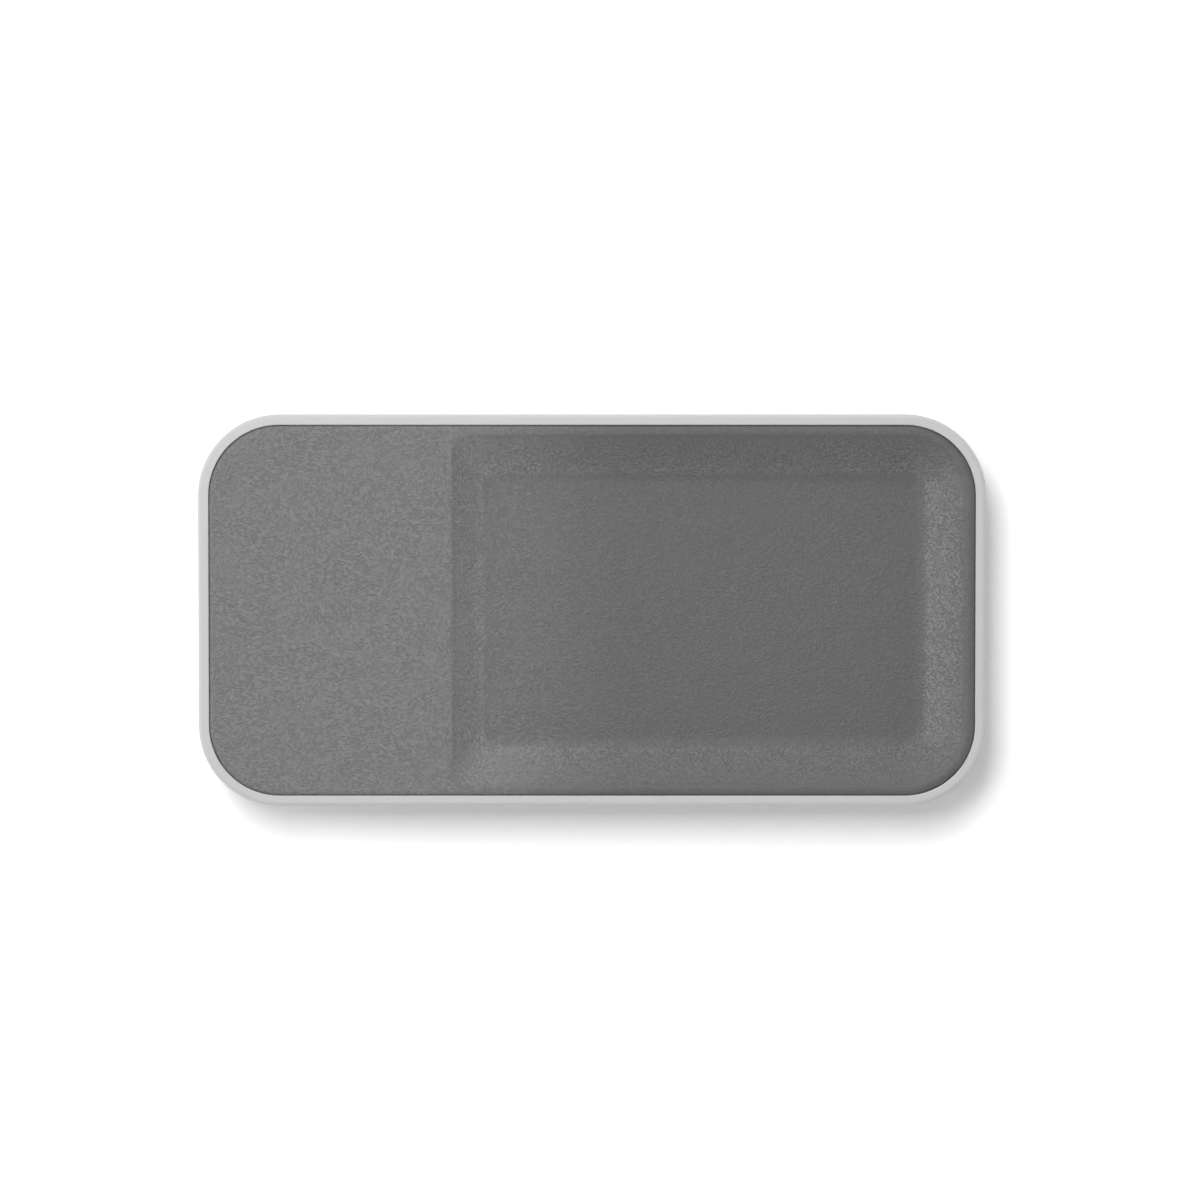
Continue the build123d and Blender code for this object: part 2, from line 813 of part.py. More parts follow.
def make_lengthwise_divider():
    """A plate along the box that locks over both cross dividers."""
    reach = cross_divider_station * groove_pitch
    half_length = reach + lengthwise_divider_overhang
    half = divider_thickness / 2
    y = lengthwise_divider_place
    top = liner_floor_top + divider_height
    plate = block(-half_length, half_length, y - half, y + half, liner_floor_top, top)
    corners = plate.edges().filter_by(Axis.Y).group_by(Axis.Z)[-1]
    plate = fillet(corners, divider_round)
    lap = liner_floor_top + divider_height * lap_share + divider_gap
    for x in (-reach, reach):
        plate -= divider_slot(x, y, liner_floor_top - overrun, lap)
    return plate


def make_all():
    """Every piece of the organizer under its name."""
    cross_x = cross_divider_station * groove_pitch
    left, right = magnet_places
    pieces = {
        "lid_frame": make_lid_frame(),
        "tray_carrier": make_tray_carrier(),
        "tray_skin": make_tray_skin(),
        "lid_cover": make_lid_cover(),
        "lid_lining": make_lid_lining(),
        "lid_screws": make_lid_screws(),
        "inner_screws": make_inner_screws(),
        "charging_coil": make_charging_coil(),
        "coil_leads": make_coil_leads(),
        "ferrite_shield": make_ferrite_shield(),
        "coil_bracket": make_coil_bracket(),
        "circuit_board": make_circuit_board(),
        "control_chips": make_control_chips(),
        "board_capacitors": make_board_capacitors(),
        "power_inductor": make_power_inductor(),
        "status_led": make_status_led(),
        "light_pipe": make_light_pipe(),
        "port_shell": make_port_shell(),
        "port_tongue": make_port_tongue(),
        "lid_magnet_left": make_magnet(left, lid_magnet_bottom),
        "lid_magnet_right": make_magnet(right, lid_magnet_bottom),
        "base_shell": make_base_shell(),
        "base_liner": make_base_liner(),
        "cross_divider_left": make_cross_divider(-cross_x),
        "cross_divider_right": make_cross_divider(cross_x),
        "lengthwise_divider": make_lengthwise_divider(),
        "base_magnet_left": make_magnet(left, base_magnet_bottom),
        "base_magnet_right": make_magnet(right, base_magnet_bottom),
        "hinge_pin_left": barrel(hinge_places[0], hinge_pin_radius, pin_length),
        "hinge_pin_right": barrel(hinge_places[1], hinge_pin_radius, pin_length),
    }
    for name, (x, y) in foot_places().items():
        pieces[name] = make_foot(x, y)
    return pieces


os.makedirs("parts", exist_ok=True)
for name, piece in make_all().items():
    solids = piece if isinstance(piece, list) else [piece]
    shape = Compound(children=[solid for part in solids for solid in part.solids()])
    export_step(shape, f"parts/{name}.step")
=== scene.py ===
import math

import bmesh
import bpy
import numpy as np
from mathutils import Matrix, Vector, geometry, noise


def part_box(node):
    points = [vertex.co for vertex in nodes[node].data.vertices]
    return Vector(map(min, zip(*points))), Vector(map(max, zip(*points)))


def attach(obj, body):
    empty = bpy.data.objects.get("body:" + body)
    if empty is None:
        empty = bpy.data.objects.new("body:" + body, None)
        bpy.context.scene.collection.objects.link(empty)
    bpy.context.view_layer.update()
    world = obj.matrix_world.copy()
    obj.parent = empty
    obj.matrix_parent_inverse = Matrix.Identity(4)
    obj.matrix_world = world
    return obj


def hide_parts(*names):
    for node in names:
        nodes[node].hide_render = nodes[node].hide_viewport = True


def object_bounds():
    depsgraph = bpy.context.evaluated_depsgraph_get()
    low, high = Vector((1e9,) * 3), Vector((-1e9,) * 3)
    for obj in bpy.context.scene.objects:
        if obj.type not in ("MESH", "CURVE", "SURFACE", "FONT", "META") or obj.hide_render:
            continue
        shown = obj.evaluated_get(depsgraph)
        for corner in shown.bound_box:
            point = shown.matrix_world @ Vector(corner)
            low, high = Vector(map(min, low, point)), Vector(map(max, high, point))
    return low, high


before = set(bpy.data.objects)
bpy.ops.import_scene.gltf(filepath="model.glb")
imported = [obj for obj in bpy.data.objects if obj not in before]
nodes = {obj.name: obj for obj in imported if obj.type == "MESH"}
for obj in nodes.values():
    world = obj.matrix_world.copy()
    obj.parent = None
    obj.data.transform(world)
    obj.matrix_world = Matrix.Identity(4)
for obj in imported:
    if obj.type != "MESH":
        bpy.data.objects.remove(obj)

# A lidded desk organizer: its lid is a leather valet tray with a charging platform, and its base is lined
# with felt.
# Lengths are in metres, as in the frame, so a value in millimetres is written as a number times mm.

mm = 0.001
weldGap = 0.002 * mm  # vertices that are closer belong together
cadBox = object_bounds()
print("frame loaded with", len(nodes), "nodes")


# Colours and nodes

def linear(level):
    share = level / 255
    return share / 12.92 if share <= 0.04045 else ((share + 0.055) / 1.055) ** 2.4


def tone(red, green=None, blue=None):
    # a colour from display levels of 0 to 255, or a grey from one level
    green, blue = (red, red) if green is None else (green, blue)
    return (linear(red), linear(green), linear(blue), 1.0)


def feed(tree, socket, value):
    # a link from another node's socket, or a fixed value
    if isinstance(value, bpy.types.NodeSocket):
        tree.links.new(value, socket)
    else:
        socket.default_value = value


def addNode(tree, kind, inputs=None, **settings):
    node = tree.nodes.new(kind)
    for name, value in settings.items():
        setattr(node, name, value)
    for name, value in (inputs or {}).items():
        feed(tree, node.inputs[name], value)
    return node


def calc(tree, operation, first, second=0.0, third=0.0, clamp=False):
    inputs = {0: first, 1: second, 2: third}
    return addNode(tree, "ShaderNodeMath", inputs, operation=operation, use_clamp=clamp).outputs[0]


def vectorCalc(tree, operation, first, second=(0.0, 0.0, 0.0), third=(0.0, 0.0, 0.0)):
    inputs = {0: first, 1: second, 2: third}
    return addNode(tree, "ShaderNodeVectorMath", inputs, operation=operation).outputs[0]


def scaled(tree, vector, gain):
    return addNode(tree, "ShaderNodeVectorMath", {0: vector, "Scale": gain}, operation="SCALE").outputs[0]


def turned(tree, vector, angles):
    inputs = {"Vector": vector, "Rotation": angles}
    return addNode(tree, "ShaderNodeVectorRotate", inputs, rotation_type="EULER_XYZ").outputs[0]


def cloud(tree, vector, scale, detail=2.0, roughness=0.5, distortion=0.0, output=0):
    # soft random levels, scale of them to the metre
    inputs = {"Vector": vector, "Scale": scale, "Detail": detail, "Roughness": roughness}
    return addNode(tree, "ShaderNodeTexNoise", {**inputs, "Distortion": distortion}).outputs[output]


def spread(tree, value, low, high, newLow=0.0, newHigh=1.0):
    # value from low to high becomes newLow to newHigh, with soft ends
    inputs = {"Value": value, "From Min": low, "From Max": high, "To Min": newLow, "To Max": newHigh}
    return addNode(tree, "ShaderNodeMapRange", inputs, interpolation_type="SMOOTHSTEP").outputs["Result"]


def blendTones(tree, share, first, second):
    node = addNode(tree, "ShaderNodeMix", data_type="RGBA")
    sockets = {socket.identifier: socket for socket in node.inputs}
    for name, value in (("Factor_Float", share), ("A_Color", first), ("B_Color", second)):
        feed(tree, sockets[name], value)
    return next(socket for socket in node.outputs if socket.identifier == "Result_Color")


def shadeByTone(tree, colour, share, depth):
    # colour, darker by up to depth where share is 0 and lighter by as much where it is 1
    gain = calc(tree, "MULTIPLY_ADD", share, 2 * depth, 1 - depth)
    return scaled(tree, colour[:3] if isinstance(colour, tuple) else colour, gain)


def newGroup(name, inputs):
    # a group whose inputs are numbers or vectors by their starting value, which is None for the place
    group = bpy.data.node_groups.new(name, "ShaderNodeTree")
    for label, value in inputs.items():
        kind = "NodeSocketFloat" if isinstance(value, float) else "NodeSocketVector"
        socket = group.interface.new_socket(name=label, in_out="INPUT", socket_type=kind)
        if value is not None:
            socket.default_value = value
    return group, group.nodes.new("NodeGroupInput").outputs


def endGroup(group, **results):
    for label in results:
        group.interface.new_socket(name=label, in_out="OUTPUT", socket_type="NodeSocketFloat")
    addNode(group, "NodeGroupOutput", results)
    return group


def useGroup(tree, group, **inputs):
    return addNode(tree, "ShaderNodeGroup", inputs, node_tree=group).outputs


# Effects that several finishes share

mouldMarks = {"fineShare": 0.55, "flowScale": 38.0}


def makeMouldTexture():
    # the fine matt texture of a spark-eroded mould, with faint flow marks
    group, given = newGroup("mouldTexture", {"Vector": None, "Grain": 2600.0})
    place, scale = given["Vector"], given["Grain"]
    fine = cloud(group, place, scale, roughness=0.6)
    pits = addNode(group, "ShaderNodeTexVoronoi", {"Vector": place, "Scale": scale}, feature="SMOOTH_F1")
    flow = cloud(group, place, mouldMarks["flowScale"], 3.0, 0.55, 0.4)
    height = calc(group, "MULTIPLY_ADD", fine, mouldMarks["fineShare"], pits.outputs["Distance"])
    return endGroup(group, Height=height, Tone=flow)


pressedGrain = {
    "swayScale": 700.0,  # how the wrinkles wander
    "sway": 0.8 * mm,
    "directions": (0.9, -0.55, 1.75),
    "zonePlaces": ((3.0, 1.0, 0.0), (7.0, 4.0, 0.0), (2.0, 8.0, 0.0)),  # so that the directions' zones differ
    "zoneScale": 70.0,
    "zoneEdge": (0.42, 0.58),
    "stretch": (1.0, 0.55, 0.8),
    "ridge": (0.32, 0.68),
    "pebbleEdge": 0.3,
    "pebbleHeight": 0.5,  # against the wrinkles' height
    "poreHeight": 0.15,
    "poreScale": 4200.0,
    "patchScale": 62.0,
    "creaseShares": (0.65, 0.35),  # of the wrinkles and of the pebbles
}


def makeLeatherGrain():
    # pressed grain: fine drawn wrinkles whose direction changes from patch to patch, small pebbles and pores
    plan = pressedGrain
    inputs = {"Vector": None, "Pebbles": 1500.0, "Wrinkles": 1600.0, "Amount": 1.0}
    group, given = newGroup("leatherGrain", inputs)
    place = given["Vector"]
    sway = cloud(group, place, plan["swayScale"], output="Color")
    swayed = vectorCalc(group, "MULTIPLY_ADD", sway, (plan["sway"],) * 3, place)
    drawn = None
    for angle, where in zip(plan["directions"], plan["zonePlaces"]):
        drawnOut = vectorCalc(group, "MULTIPLY", turned(group, swayed, (0.0, 0.0, angle)), plan["stretch"])
        ridge = spread(group, cloud(group, drawnOut, given["Wrinkles"], 1.0), *plan["ridge"])
        if drawn is None:
            drawn = ridge
            continue
        zone = cloud(group, vectorCalc(group, "ADD", place, where), plan["zoneScale"], 1.0)
        share = spread(group, zone, *plan["zoneEdge"])
        drawn = calc(group, "MULTIPLY_ADD", calc(group, "SUBTRACT", ridge, drawn), share, drawn)
    inputs = {"Vector": swayed, "Scale": given["Pebbles"]}
    cells = addNode(group, "ShaderNodeTexVoronoi", inputs, feature="DISTANCE_TO_EDGE")
    pebble = spread(group, cells.outputs["Distance"], 0.0, plan["pebbleEdge"])
    pores = cloud(group, place, plan["poreScale"], roughness=0.7)
    bumps = calc(group, "MULTIPLY_ADD", pebble, plan["pebbleHeight"], drawn)
    bumps = calc(group, "MULTIPLY_ADD", pores, plan["poreHeight"], bumps)
    wrinkleShare, pebbleShare = plan["creaseShares"]
    high = calc(group, "MULTIPLY_ADD", drawn, wrinkleShare, calc(group, "MULTIPLY", pebble, pebbleShare))
    low = calc(group, "SUBTRACT", 0.5, high)
    return endGroup(
        group,
        Height=calc(group, "MULTIPLY", bumps, given["Amount"]),
        Crease=calc(group, "MULTIPLY_ADD", low, given["Amount"], 0.5, clamp=True),
        Patch=cloud(group, place, plan["patchScale"]),
    )


fibreLay = {
    "directions": ((0.3, 0.2), (1.35, -0.3), (2.45, 0.1)),  # turn and lean of each layer
    "stretch": (1.0, 0.12, 1.0),
    "strand": (0.48, 0.66),
    "strandHeight": 0.7,
    "lumpScale": 330.0,
    "melangeShares": (0.72, 0.26),  # of the strands and of the lumps
    "melangeEdges": (0.2, 0.8),  # where it is all dark and all light
}


def makeFeltFibres():
    # matted fibres in three directions, and the light and dark ones mixed into the melange
    group, given = newGroup("feltFibres", {"Vector": None, "Fibres": 1100.0})
    strands = 0.0
    for angle, lean in fibreLay["directions"]:
        laid = turned(group, given["Vector"], (lean, lean, angle))
        drawnOut = vectorCalc(group, "MULTIPLY", laid, fibreLay["stretch"])
        layer = cloud(group, drawnOut, given["Fibres"], 3.0, 0.6, 0.9)
        strands = calc(group, "MAXIMUM", strands, spread(group, layer, *fibreLay["strand"]))
    lumps = cloud(group, given["Vector"], fibreLay["lumpScale"], 3.0)
    strandShare, lumpShare = fibreLay["melangeShares"]
    return endGroup(
        group,
        Height=calc(group, "MULTIPLY_ADD", strands, fibreLay["strandHeight"], lumps),
        Melange=calc(group, "MULTIPLY_ADD", strands, strandShare, calc(group, "MULTIPLY", lumps, lumpShare)),
    )


metalMarks = {"lineDetail": 3.0, "lineRoughness": 0.6, "rubScale": 420.0, "rubDetail": 4.0}


def makeToolMarks():
    # fine drawn lines and small rubs on metal
    group, given = newGroup("toolMarks", {"Vector": None, "Stretch": (0.05, 1.0, 1.0), "Lines": 5200.0})
    drawnOut = vectorCalc(group, "MULTIPLY", given["Vector"], given["Stretch"])
    lines = cloud(group, drawnOut, given["Lines"], metalMarks["lineDetail"], metalMarks["lineRoughness"])
    rub = cloud(group, given["Vector"], metalMarks["rubScale"], metalMarks["rubDetail"])
    return endGroup(group, Height=lines, Rub=rub)


mouldTexture = makeMouldTexture()
leatherGrain = makeLeatherGrain()
feltFibres = makeFeltFibres()
toolMarks = makeToolMarks()
print("shared effects built")


# Finishes

def startMaterial(name, **sockets):
    # a material with one Principled shader; what is the same all over is set on its own sockets
    material = bpy.data.materials.new(name)
    material.use_nodes = True
    tree = material.node_tree
    shader = tree.nodes["Principled BSDF"]
    for label, value in sockets.items():
        shader.inputs[label.replace("_", " ")].default_value = value
    place = tree.nodes.new("ShaderNodeTexCoord").outputs["Object"]
    return material, tree, shader, place


def finishMaterial(tree, shader, colour, roughness, height, depth):
    tree.links.new(colour, shader.inputs["Base Color"])
    tree.links.new(roughness, shader.inputs["Roughness"])
    bump = addNode(tree, "ShaderNodeBump", {"Height": height, "Distance": depth})
    tree.links.new(bump.outputs["Normal"], shader.inputs["Normal"])


def makeHard(name, look):
    # plastic, rubber, lacquer or metal
    material, tree, shader, place = startMaterial(name, **look["sockets"])
    marks = useGroup(tree, look["group"], Vector=place, **look["marks"])
    shade = marks[look["shade"]]
    colour = shadeByTone(tree, look["tone"], shade, look["mottle"])
    roughness = spread(tree, shade, *look["edges"], *look["roughness"])
    finishMaterial(tree, shader, colour, roughness, marks["Height"], look["depth"])
    return material


def makeFelt(name, look):
    sockets = {"Sheen_Weight": look["sheen"], "Sheen_Roughness": 0.6, "Specular_IOR_Level": 0.2}
    material, tree, shader, place = startMaterial(name, **sockets)
    fibres = useGroup(tree, feltFibres, Vector=place, Fibres=look["fibres"])
    share = spread(tree, fibres["Melange"], *fibreLay["melangeEdges"])
    colour = blendTones(tree, share, look["darkFibre"], look["lightFibre"])
    roughness = spread(tree, share, 0.0, 1.0, *look["roughness"])
    finishMaterial(tree, shader, colour, roughness, fibres["Height"], look["depth"])
    return material


leatherLook = {
    "tone": tone(111),
    "creaseShadeTone": tone(81),  # painted shade in the wrinkles of the grain
    "platformPaintedLight": 1.7,  # painted light: the platform end is painted lighter, standing in for the light that falls there
    "platformEnd": (-50 * mm, 15 * mm),  # where that painted light and the platform's deeper grain start to fade, and where they have gone
    "slopePaintedLight": 1.78,  # painted light: the slopes are painted lighter, most the right one, which faces the light from the left
    "patches": 0.015,
    "pebbles": 1500.0,
    "wrinkles": 1600.0,
    "floorGrain": 0.29,  # depth of the grain on the floor, as a share of that on the slopes
    "platformGrain": 0.74,
    "fullGrain": 0.7,  # how strong the slopes' mask is where their grain is at its deepest
    "depth": 0.2 * mm,
    "roughness": (0.42, 0.6),
}


def makeLeather():
    look = leatherLook
    material, tree, shader, place = startMaterial("darkGreyLeather", Specular_IOR_Level=0.5)
    slope = addNode(tree, "ShaderNodeAttribute", attribute_name="slope").outputs["Fac"]
    along = addNode(tree, "ShaderNodeSeparateXYZ", {"Vector": place}).outputs["X"]
    flatGrain = spread(tree, along, *look["platformEnd"], look["platformGrain"], look["floorGrain"])
    amount = spread(tree, slope, 0.0, look["fullGrain"], flatGrain, 1.0)
    scales = {"Pebbles": look["pebbles"], "Wrinkles": look["wrinkles"]}
    grain = useGroup(tree, leatherGrain, Vector=place, Amount=amount, **scales)
    # the wrinkles are painted darker, as painted shade in the grain's creases
    base = blendTones(tree, grain["Crease"], look["tone"], look["creaseShadeTone"])
    patched = shadeByTone(tree, base, grain["Patch"], look["patches"])
    # painted light: lighter towards the platform end, standing in for the light that falls there
    paintedPlatformLight = spread(tree, along, *look["platformEnd"], look["platformPaintedLight"], 1.0)
    # painted light: the slopes are painted lighter by the mask in the mesh attribute, most the right one
    gain = calc(tree, "MULTIPLY", paintedPlatformLight, spread(tree, slope, 0.0, 1.0, 1.0, look["slopePaintedLight"]))
    roughness = spread(tree, grain["Crease"], 0.0, 1.0, *look["roughness"])
    finishMaterial(tree, shader, scaled(tree, patched, gain), roughness, grain["Height"], look["depth"])
    return material


def mouldedLook(colour, grain, mottle, depth, roughness, **sockets):
    return {
        "group": mouldTexture, "marks": {"Grain": grain}, "shade": "Tone", "edges": (0.3, 0.7),
        "tone": tone(*colour), "mottle": mottle, "depth": depth * mm, "roughness": roughness,
        "sockets": sockets,
    }


def metalLook(colour, stretch, lines, mottle, depth, roughness):
    return {
        "group": toolMarks, "marks": {"Stretch": stretch, "Lines": lines}, "shade": "Rub",
        "edges": (0.35, 0.65), "tone": tone(*colour), "mottle": mottle, "depth": depth * mm,
        "roughness": roughness, "sockets": {"Metallic": 1.0},
    }


def feltLook(dark, light):
    return {
        "darkFibre": tone(*dark), "lightFibre": tone(*light), "fibres": 2200.0, "sheen": 0.25,
        "depth": 0.12 * mm, "roughness": (0.96, 0.86),
    }


# colour, grain to the metre, mottle, depth of the texture in millimetres, roughness from and to
mouldedLooks = {
    "lightGreyShell": mouldedLook(
        (206, 206, 207), 2400.0, 0.012, 0.012, (0.42, 0.5), Specular_IOR_Level=0.45,
    ),
    "trayPan": mouldedLook((96, 96, 98), 2200.0, 0.04, 0.02, (0.5, 0.6)),
    "lidCoverPlastic": mouldedLook((110, 110, 112), 2200.0, 0.04, 0.02, (0.5, 0.6)),
    "ferriteBlock": mouldedLook((70, 70, 72), 5200.0, 0.12, 0.02, (0.6, 0.75)),
    "boardLacquer": mouldedLook(
        (40, 100, 72), 900.0, 0.1, 0.008, (0.28, 0.38), Coat_Weight=0.4, Coat_Roughness=0.2,
    ),
    "chipBlack": mouldedLook((38, 38, 40), 6200.0, 0.1, 0.008, (0.5, 0.62)),
    "capacitorTan": mouldedLook((172, 148, 116), 5200.0, 0.1, 0.008, (0.4, 0.5)),
    "ledWhite": mouldedLook((228, 228, 222), 5200.0, 0.03, 0.004, (0.25, 0.35)),
    "portBlack": mouldedLook((36, 36, 38), 5200.0, 0.08, 0.008, (0.42, 0.55)),
    "footRubber": mouldedLook((58, 58, 59), 1500.0, 0.12, 0.03, (0.72, 0.85), Specular_IOR_Level=0.3),
    "clearAcrylic": mouldedLook(
        (244, 247, 248), 3200.0, 0.02, 0.002, (0.06, 0.12), Transmission_Weight=0.45, IOR=1.49,
    ),
}
# colour, stretch of the marks, lines to the metre, mottle, depth in millimetres, roughness from and to
metalLooks = {
    "zincSteel": metalLook((205, 206, 202), (1, 1, 0.1), 4200.0, 0.1, 0.01, (0.3, 0.45)),
    "hingeSteel": metalLook((196, 197, 198), (0.05, 1, 1), 5200.0, 0.08, 0.008, (0.26, 0.4)),
    "enamelledCopper": metalLook((204, 122, 74), (1, 1, 1), 1600.0, 0.12, 0.01, (0.25, 0.38)),
    "portSteel": metalLook((202, 203, 204), (1, 0.08, 1), 6200.0, 0.06, 0.006, (0.24, 0.36)),
    "contactGold": metalLook((226, 184, 104), (1, 0.1, 1), 6200.0, 0.06, 0.004, (0.2, 0.3)),
    "magnetNickel": metalLook((210, 207, 200), (1, 1, 1), 3200.0, 0.06, 0.006, (0.16, 0.28)),
}
feltLooks = {
    "greyFelt": feltLook((98, 98, 100), (136, 136, 138)),
    "dividerFelt": feltLook((110, 110, 112), (150, 150, 152)),
}
finishes = {name: makeHard(name, look) for name, look in {**mouldedLooks, **metalLooks}.items()}
finishes.update({name: makeFelt(name, look) for name, look in feltLooks.items()})
finishes["darkGreyLeather"] = makeLeather()
print(len(finishes), "finishes made")


# CAD nodes that stay, with their finish

nodeFinishes = {
    "lightGreyShell": ["lid_frame", "base_shell"],
    "trayPan": ["tray_carrier", "coil_bracket"],
    "lidCoverPlastic": ["lid_cover"],
    "hingeSteel": ["hinge_pin_left", "hinge_pin_right"],
    "enamelledCopper": ["coil_leads"],
    "ferriteBlock": ["ferrite_shield"],
    "boardLacquer": ["circuit_board"],
    "chipBlack": ["control_chips", "power_inductor"],
    "capacitorTan": ["board_capacitors"],
    "ledWhite": ["status_led"],
    "clearAcrylic": ["light_pipe"],
    "portSteel": ["port_shell"],
    "portBlack": ["port_tongue"],
    "magnetNickel": ["lid_magnet_left", "lid_magnet_right", "base_magnet_left", "base_magnet_right"],
    "footRubber": ["foot_front_left", "foot_front_right", "foot_rear_left", "foot_rear_right"],
}
for finish, names in nodeFinishes.items():
    for name in names:
        nodes[name].data.materials.clear()
        nodes[name].data.materials.append(finishes[finish])
print("CAD nodes finished")


# Meshes

def addObject(name, data):
    added = bpy.data.objects.new(name, data)
    bpy.context.scene.collection.objects.link(added)
    return added


def newPiece(name, points, faces, material):
    mesh = bpy.data.meshes.new(name)
    mesh.from_pydata([tuple(p) for p in points], [], [tuple(f) for f in faces])
    mesh.validate()
    mesh.materials.append(material)
    mesh.shade_smooth()
    return addObject(name, mesh)


def settle(piece):
    # modifiers applied, so that the piece is a plain mesh
    bpy.context.view_layer.update()
    seen = piece.evaluated_get(bpy.context.evaluated_depsgraph_get())
    mesh = bpy.data.meshes.new_from_object(seen)
    piece.modifiers.clear()
    piece.data = mesh
    return piece


def inPolygon(points, polygon):
    # for each point, whether it lies in the polygon
    x, y = points[:, 0][:, None], points[:, 1][:, None]
    ax, ay = polygon[:, 0], polygon[:, 1]
    bx, by = np.roll(ax, -1), np.roll(ay, -1)
    rising = (ay > y) != (by > y)
    with np.errstate(divide="ignore", invalid="ignore"):
        crossing = ax + (y - ay) * (bx - ax) / (by - ay)
    return (rising & (x < crossing)).sum(1) % 2 == 1


def between(points, loops):
    # for each point, whether it lies in the first loop and not in one of the others, which are holes in it
    return np.logical_xor.reduce([inPolygon(points, loop) for loop in loops])


def fillFlat(outlines, spacing):
    # triangles between an outline and its holes, with a grid of inner points; returns points and faces
    clearance, tolerance = 0.55 * spacing, 1e-7
    loops = [np.array(loop)[:, :2] for loop in outlines]
    low, high = loops[0].min(0), loops[0].max(0)
    columns = np.arange(low[0] + spacing / 2, high[0], spacing)
    rows = np.arange(low[1] + spacing / 2, high[1], spacing * math.sqrt(3) / 2)
    grid = np.array([(x + (index % 2) * spacing / 2, y) for index, y in enumerate(rows) for x in columns])
    keep = between(grid, loops)
    for loop in loops:
        gaps = np.sqrt(((grid[:, None, :] - loop[None, :, :]) ** 2).sum(2)).min(1)
        keep &= gaps > clearance
    points = np.concatenate([*loops, grid[keep]])
    edges, start = [], 0
    for loop in loops:
        count = len(loop)
        edges += [(start + i, start + (i + 1) % count) for i in range(count)]
        start += count
    made = geometry.delaunay_2d_cdt([Vector(p) for p in points], edges, [], 0, tolerance)
    flat = np.array([tuple(p) for p in made[0]])
    faces = np.array([tuple(face) for face in made[2]])
    faces = faces[between(flat[faces].mean(1), loops)]
    source = [origins[0] for origins in made[3]]
    return points, [[source[i] for i in face] for face in faces]


def straight(start, end, count):
    # points from start towards end, without the end itself
    shares = [index / count for index in range(count)]
    return [(start[0] + (end[0] - start[0]) * t, start[1] + (end[1] - start[1]) * t) for t in shares]


def arc(x, y, radius, first, last, count):
    angles = [first + (last - first) * index / count for index in range(count)]
    return [(x + radius * math.cos(angle), y + radius * math.sin(angle)) for angle in angles]


def roundedLoop(left, right, front, rear, radii, counts):
    # a rectangle with rounded corners, anticlockwise from the front end of its right side
    # radii are for the right and left corners; counts are for the right side, a right corner, the rear side,
    # a left corner and the left side
    rightRadius, leftRadius = radii
    rightCount, rightArc, longCount, leftArc, leftCount = counts
    innerRight, innerLeft, quarter = right - rightRadius, left + leftRadius, math.pi / 2
    points = straight((right, front + rightRadius), (right, rear - rightRadius), rightCount)
    points += arc(innerRight, rear - rightRadius, rightRadius, 0, quarter, rightArc)
    points += straight((innerRight, rear), (innerLeft, rear), longCount)
    points += arc(innerLeft, rear - leftRadius, leftRadius, quarter, 2 * quarter, leftArc)
    points += straight((left, rear - leftRadius), (left, front + leftRadius), leftCount)
    points += arc(innerLeft, front + leftRadius, leftRadius, 2 * quarter, 3 * quarter, leftArc)
    points += straight((innerLeft, front), (innerRight, front), longCount)
    points += arc(innerRight, front + rightRadius, rightRadius, 3 * quarter, 4 * quarter, rightArc)
    return np.array(points)


def joinRings(rings):
    # quads between closed rings of equal length, from the innermost ring outwards, facing up
    count = len(rings[0])
    faces = []
    for level in range(len(rings) - 1):
        a, b = level * count, (level + 1) * count
        for i in range(count):
            j = (i + 1) % count
            faces.append((a + i, b + i, b + j, a + j))
    return np.concatenate(rings), faces


# The leather over the pan

skin = {
    "corner": 20.6 * mm,
    "rimGap": 0.2 * mm,  # from the node to the rim
    "edgeGap": 0.06 * mm,  # from the leather to the rim
    "edgeAcross": 1.7 * mm,  # the rolled edge, seen from above
    "edgeDown": 1.1 * mm,
    "mouthMargin": 2.6 * mm,
    "mouthLeft": 75.1 * mm,  # left side of the organizer to the platform's edge
    "mouthLeftCorner": 6 * mm,
    "depth": 7 * mm,
    "slopeRun": 11.7 * mm,
    "platformSlopeRun": 8.9 * mm,
    "floorCorner": 6.3 * mm,
    "crestRound": 2.2 * mm,
    "floorRound": 12.0 * mm,
    "thickness": 0.92 * mm,
    "weld": 0.004 * mm,
    "spacing": 1.1 * mm,
    "fillSpacing": 1.7 * mm,
    "arcCount": 30,
    "crestSteps": 6,
    "slopeSteps": 17,
    "footSteps": 8,
    "edgeSteps": 8,
    "hemSteps": 6,
}
relief = {
    "wave": 0.05 * mm,
    "waveScales": (0.09, 0.23),  # to the millimetre
    "fineWave": 0.5,
    "waveSink": 1.5,  # keeps the waves under the even surface
    "fold": 0.11 * mm,
    "foldSpan": 26 * mm,
    "foldCount": 22.0,
    "foldRise": 2.5,  # how soon the folds reach their height
    "foldPatch": 0.35,  # share of them that shows
    "patchScale": 0.1,
    "patchShift": (9, 4, 2),
    "foldSway": 3,
    "swayScale": 0.12,
    "edgeFree": 2 * mm,  # no relief at the rolled edge
}
# where the slopes are painted lighter, as painted light that falls from the left, and where their grain is
# deeper
slopeGrainAndLight = {
    "fade": 1.5 * mm,  # from the mouth's edge inwards
    "span": 11 * mm,  # from there to the full painted light and grain, at the foot of the slope
    "atMouth": 0.5,
    "steep": (0.16, 0.38),
    "otherSlopes": 0.5,  # as a share of that on the right one, which faces the light from the left
    "facing": 4,  # how closely a slope must face left, towards the light, to count as the right one
}


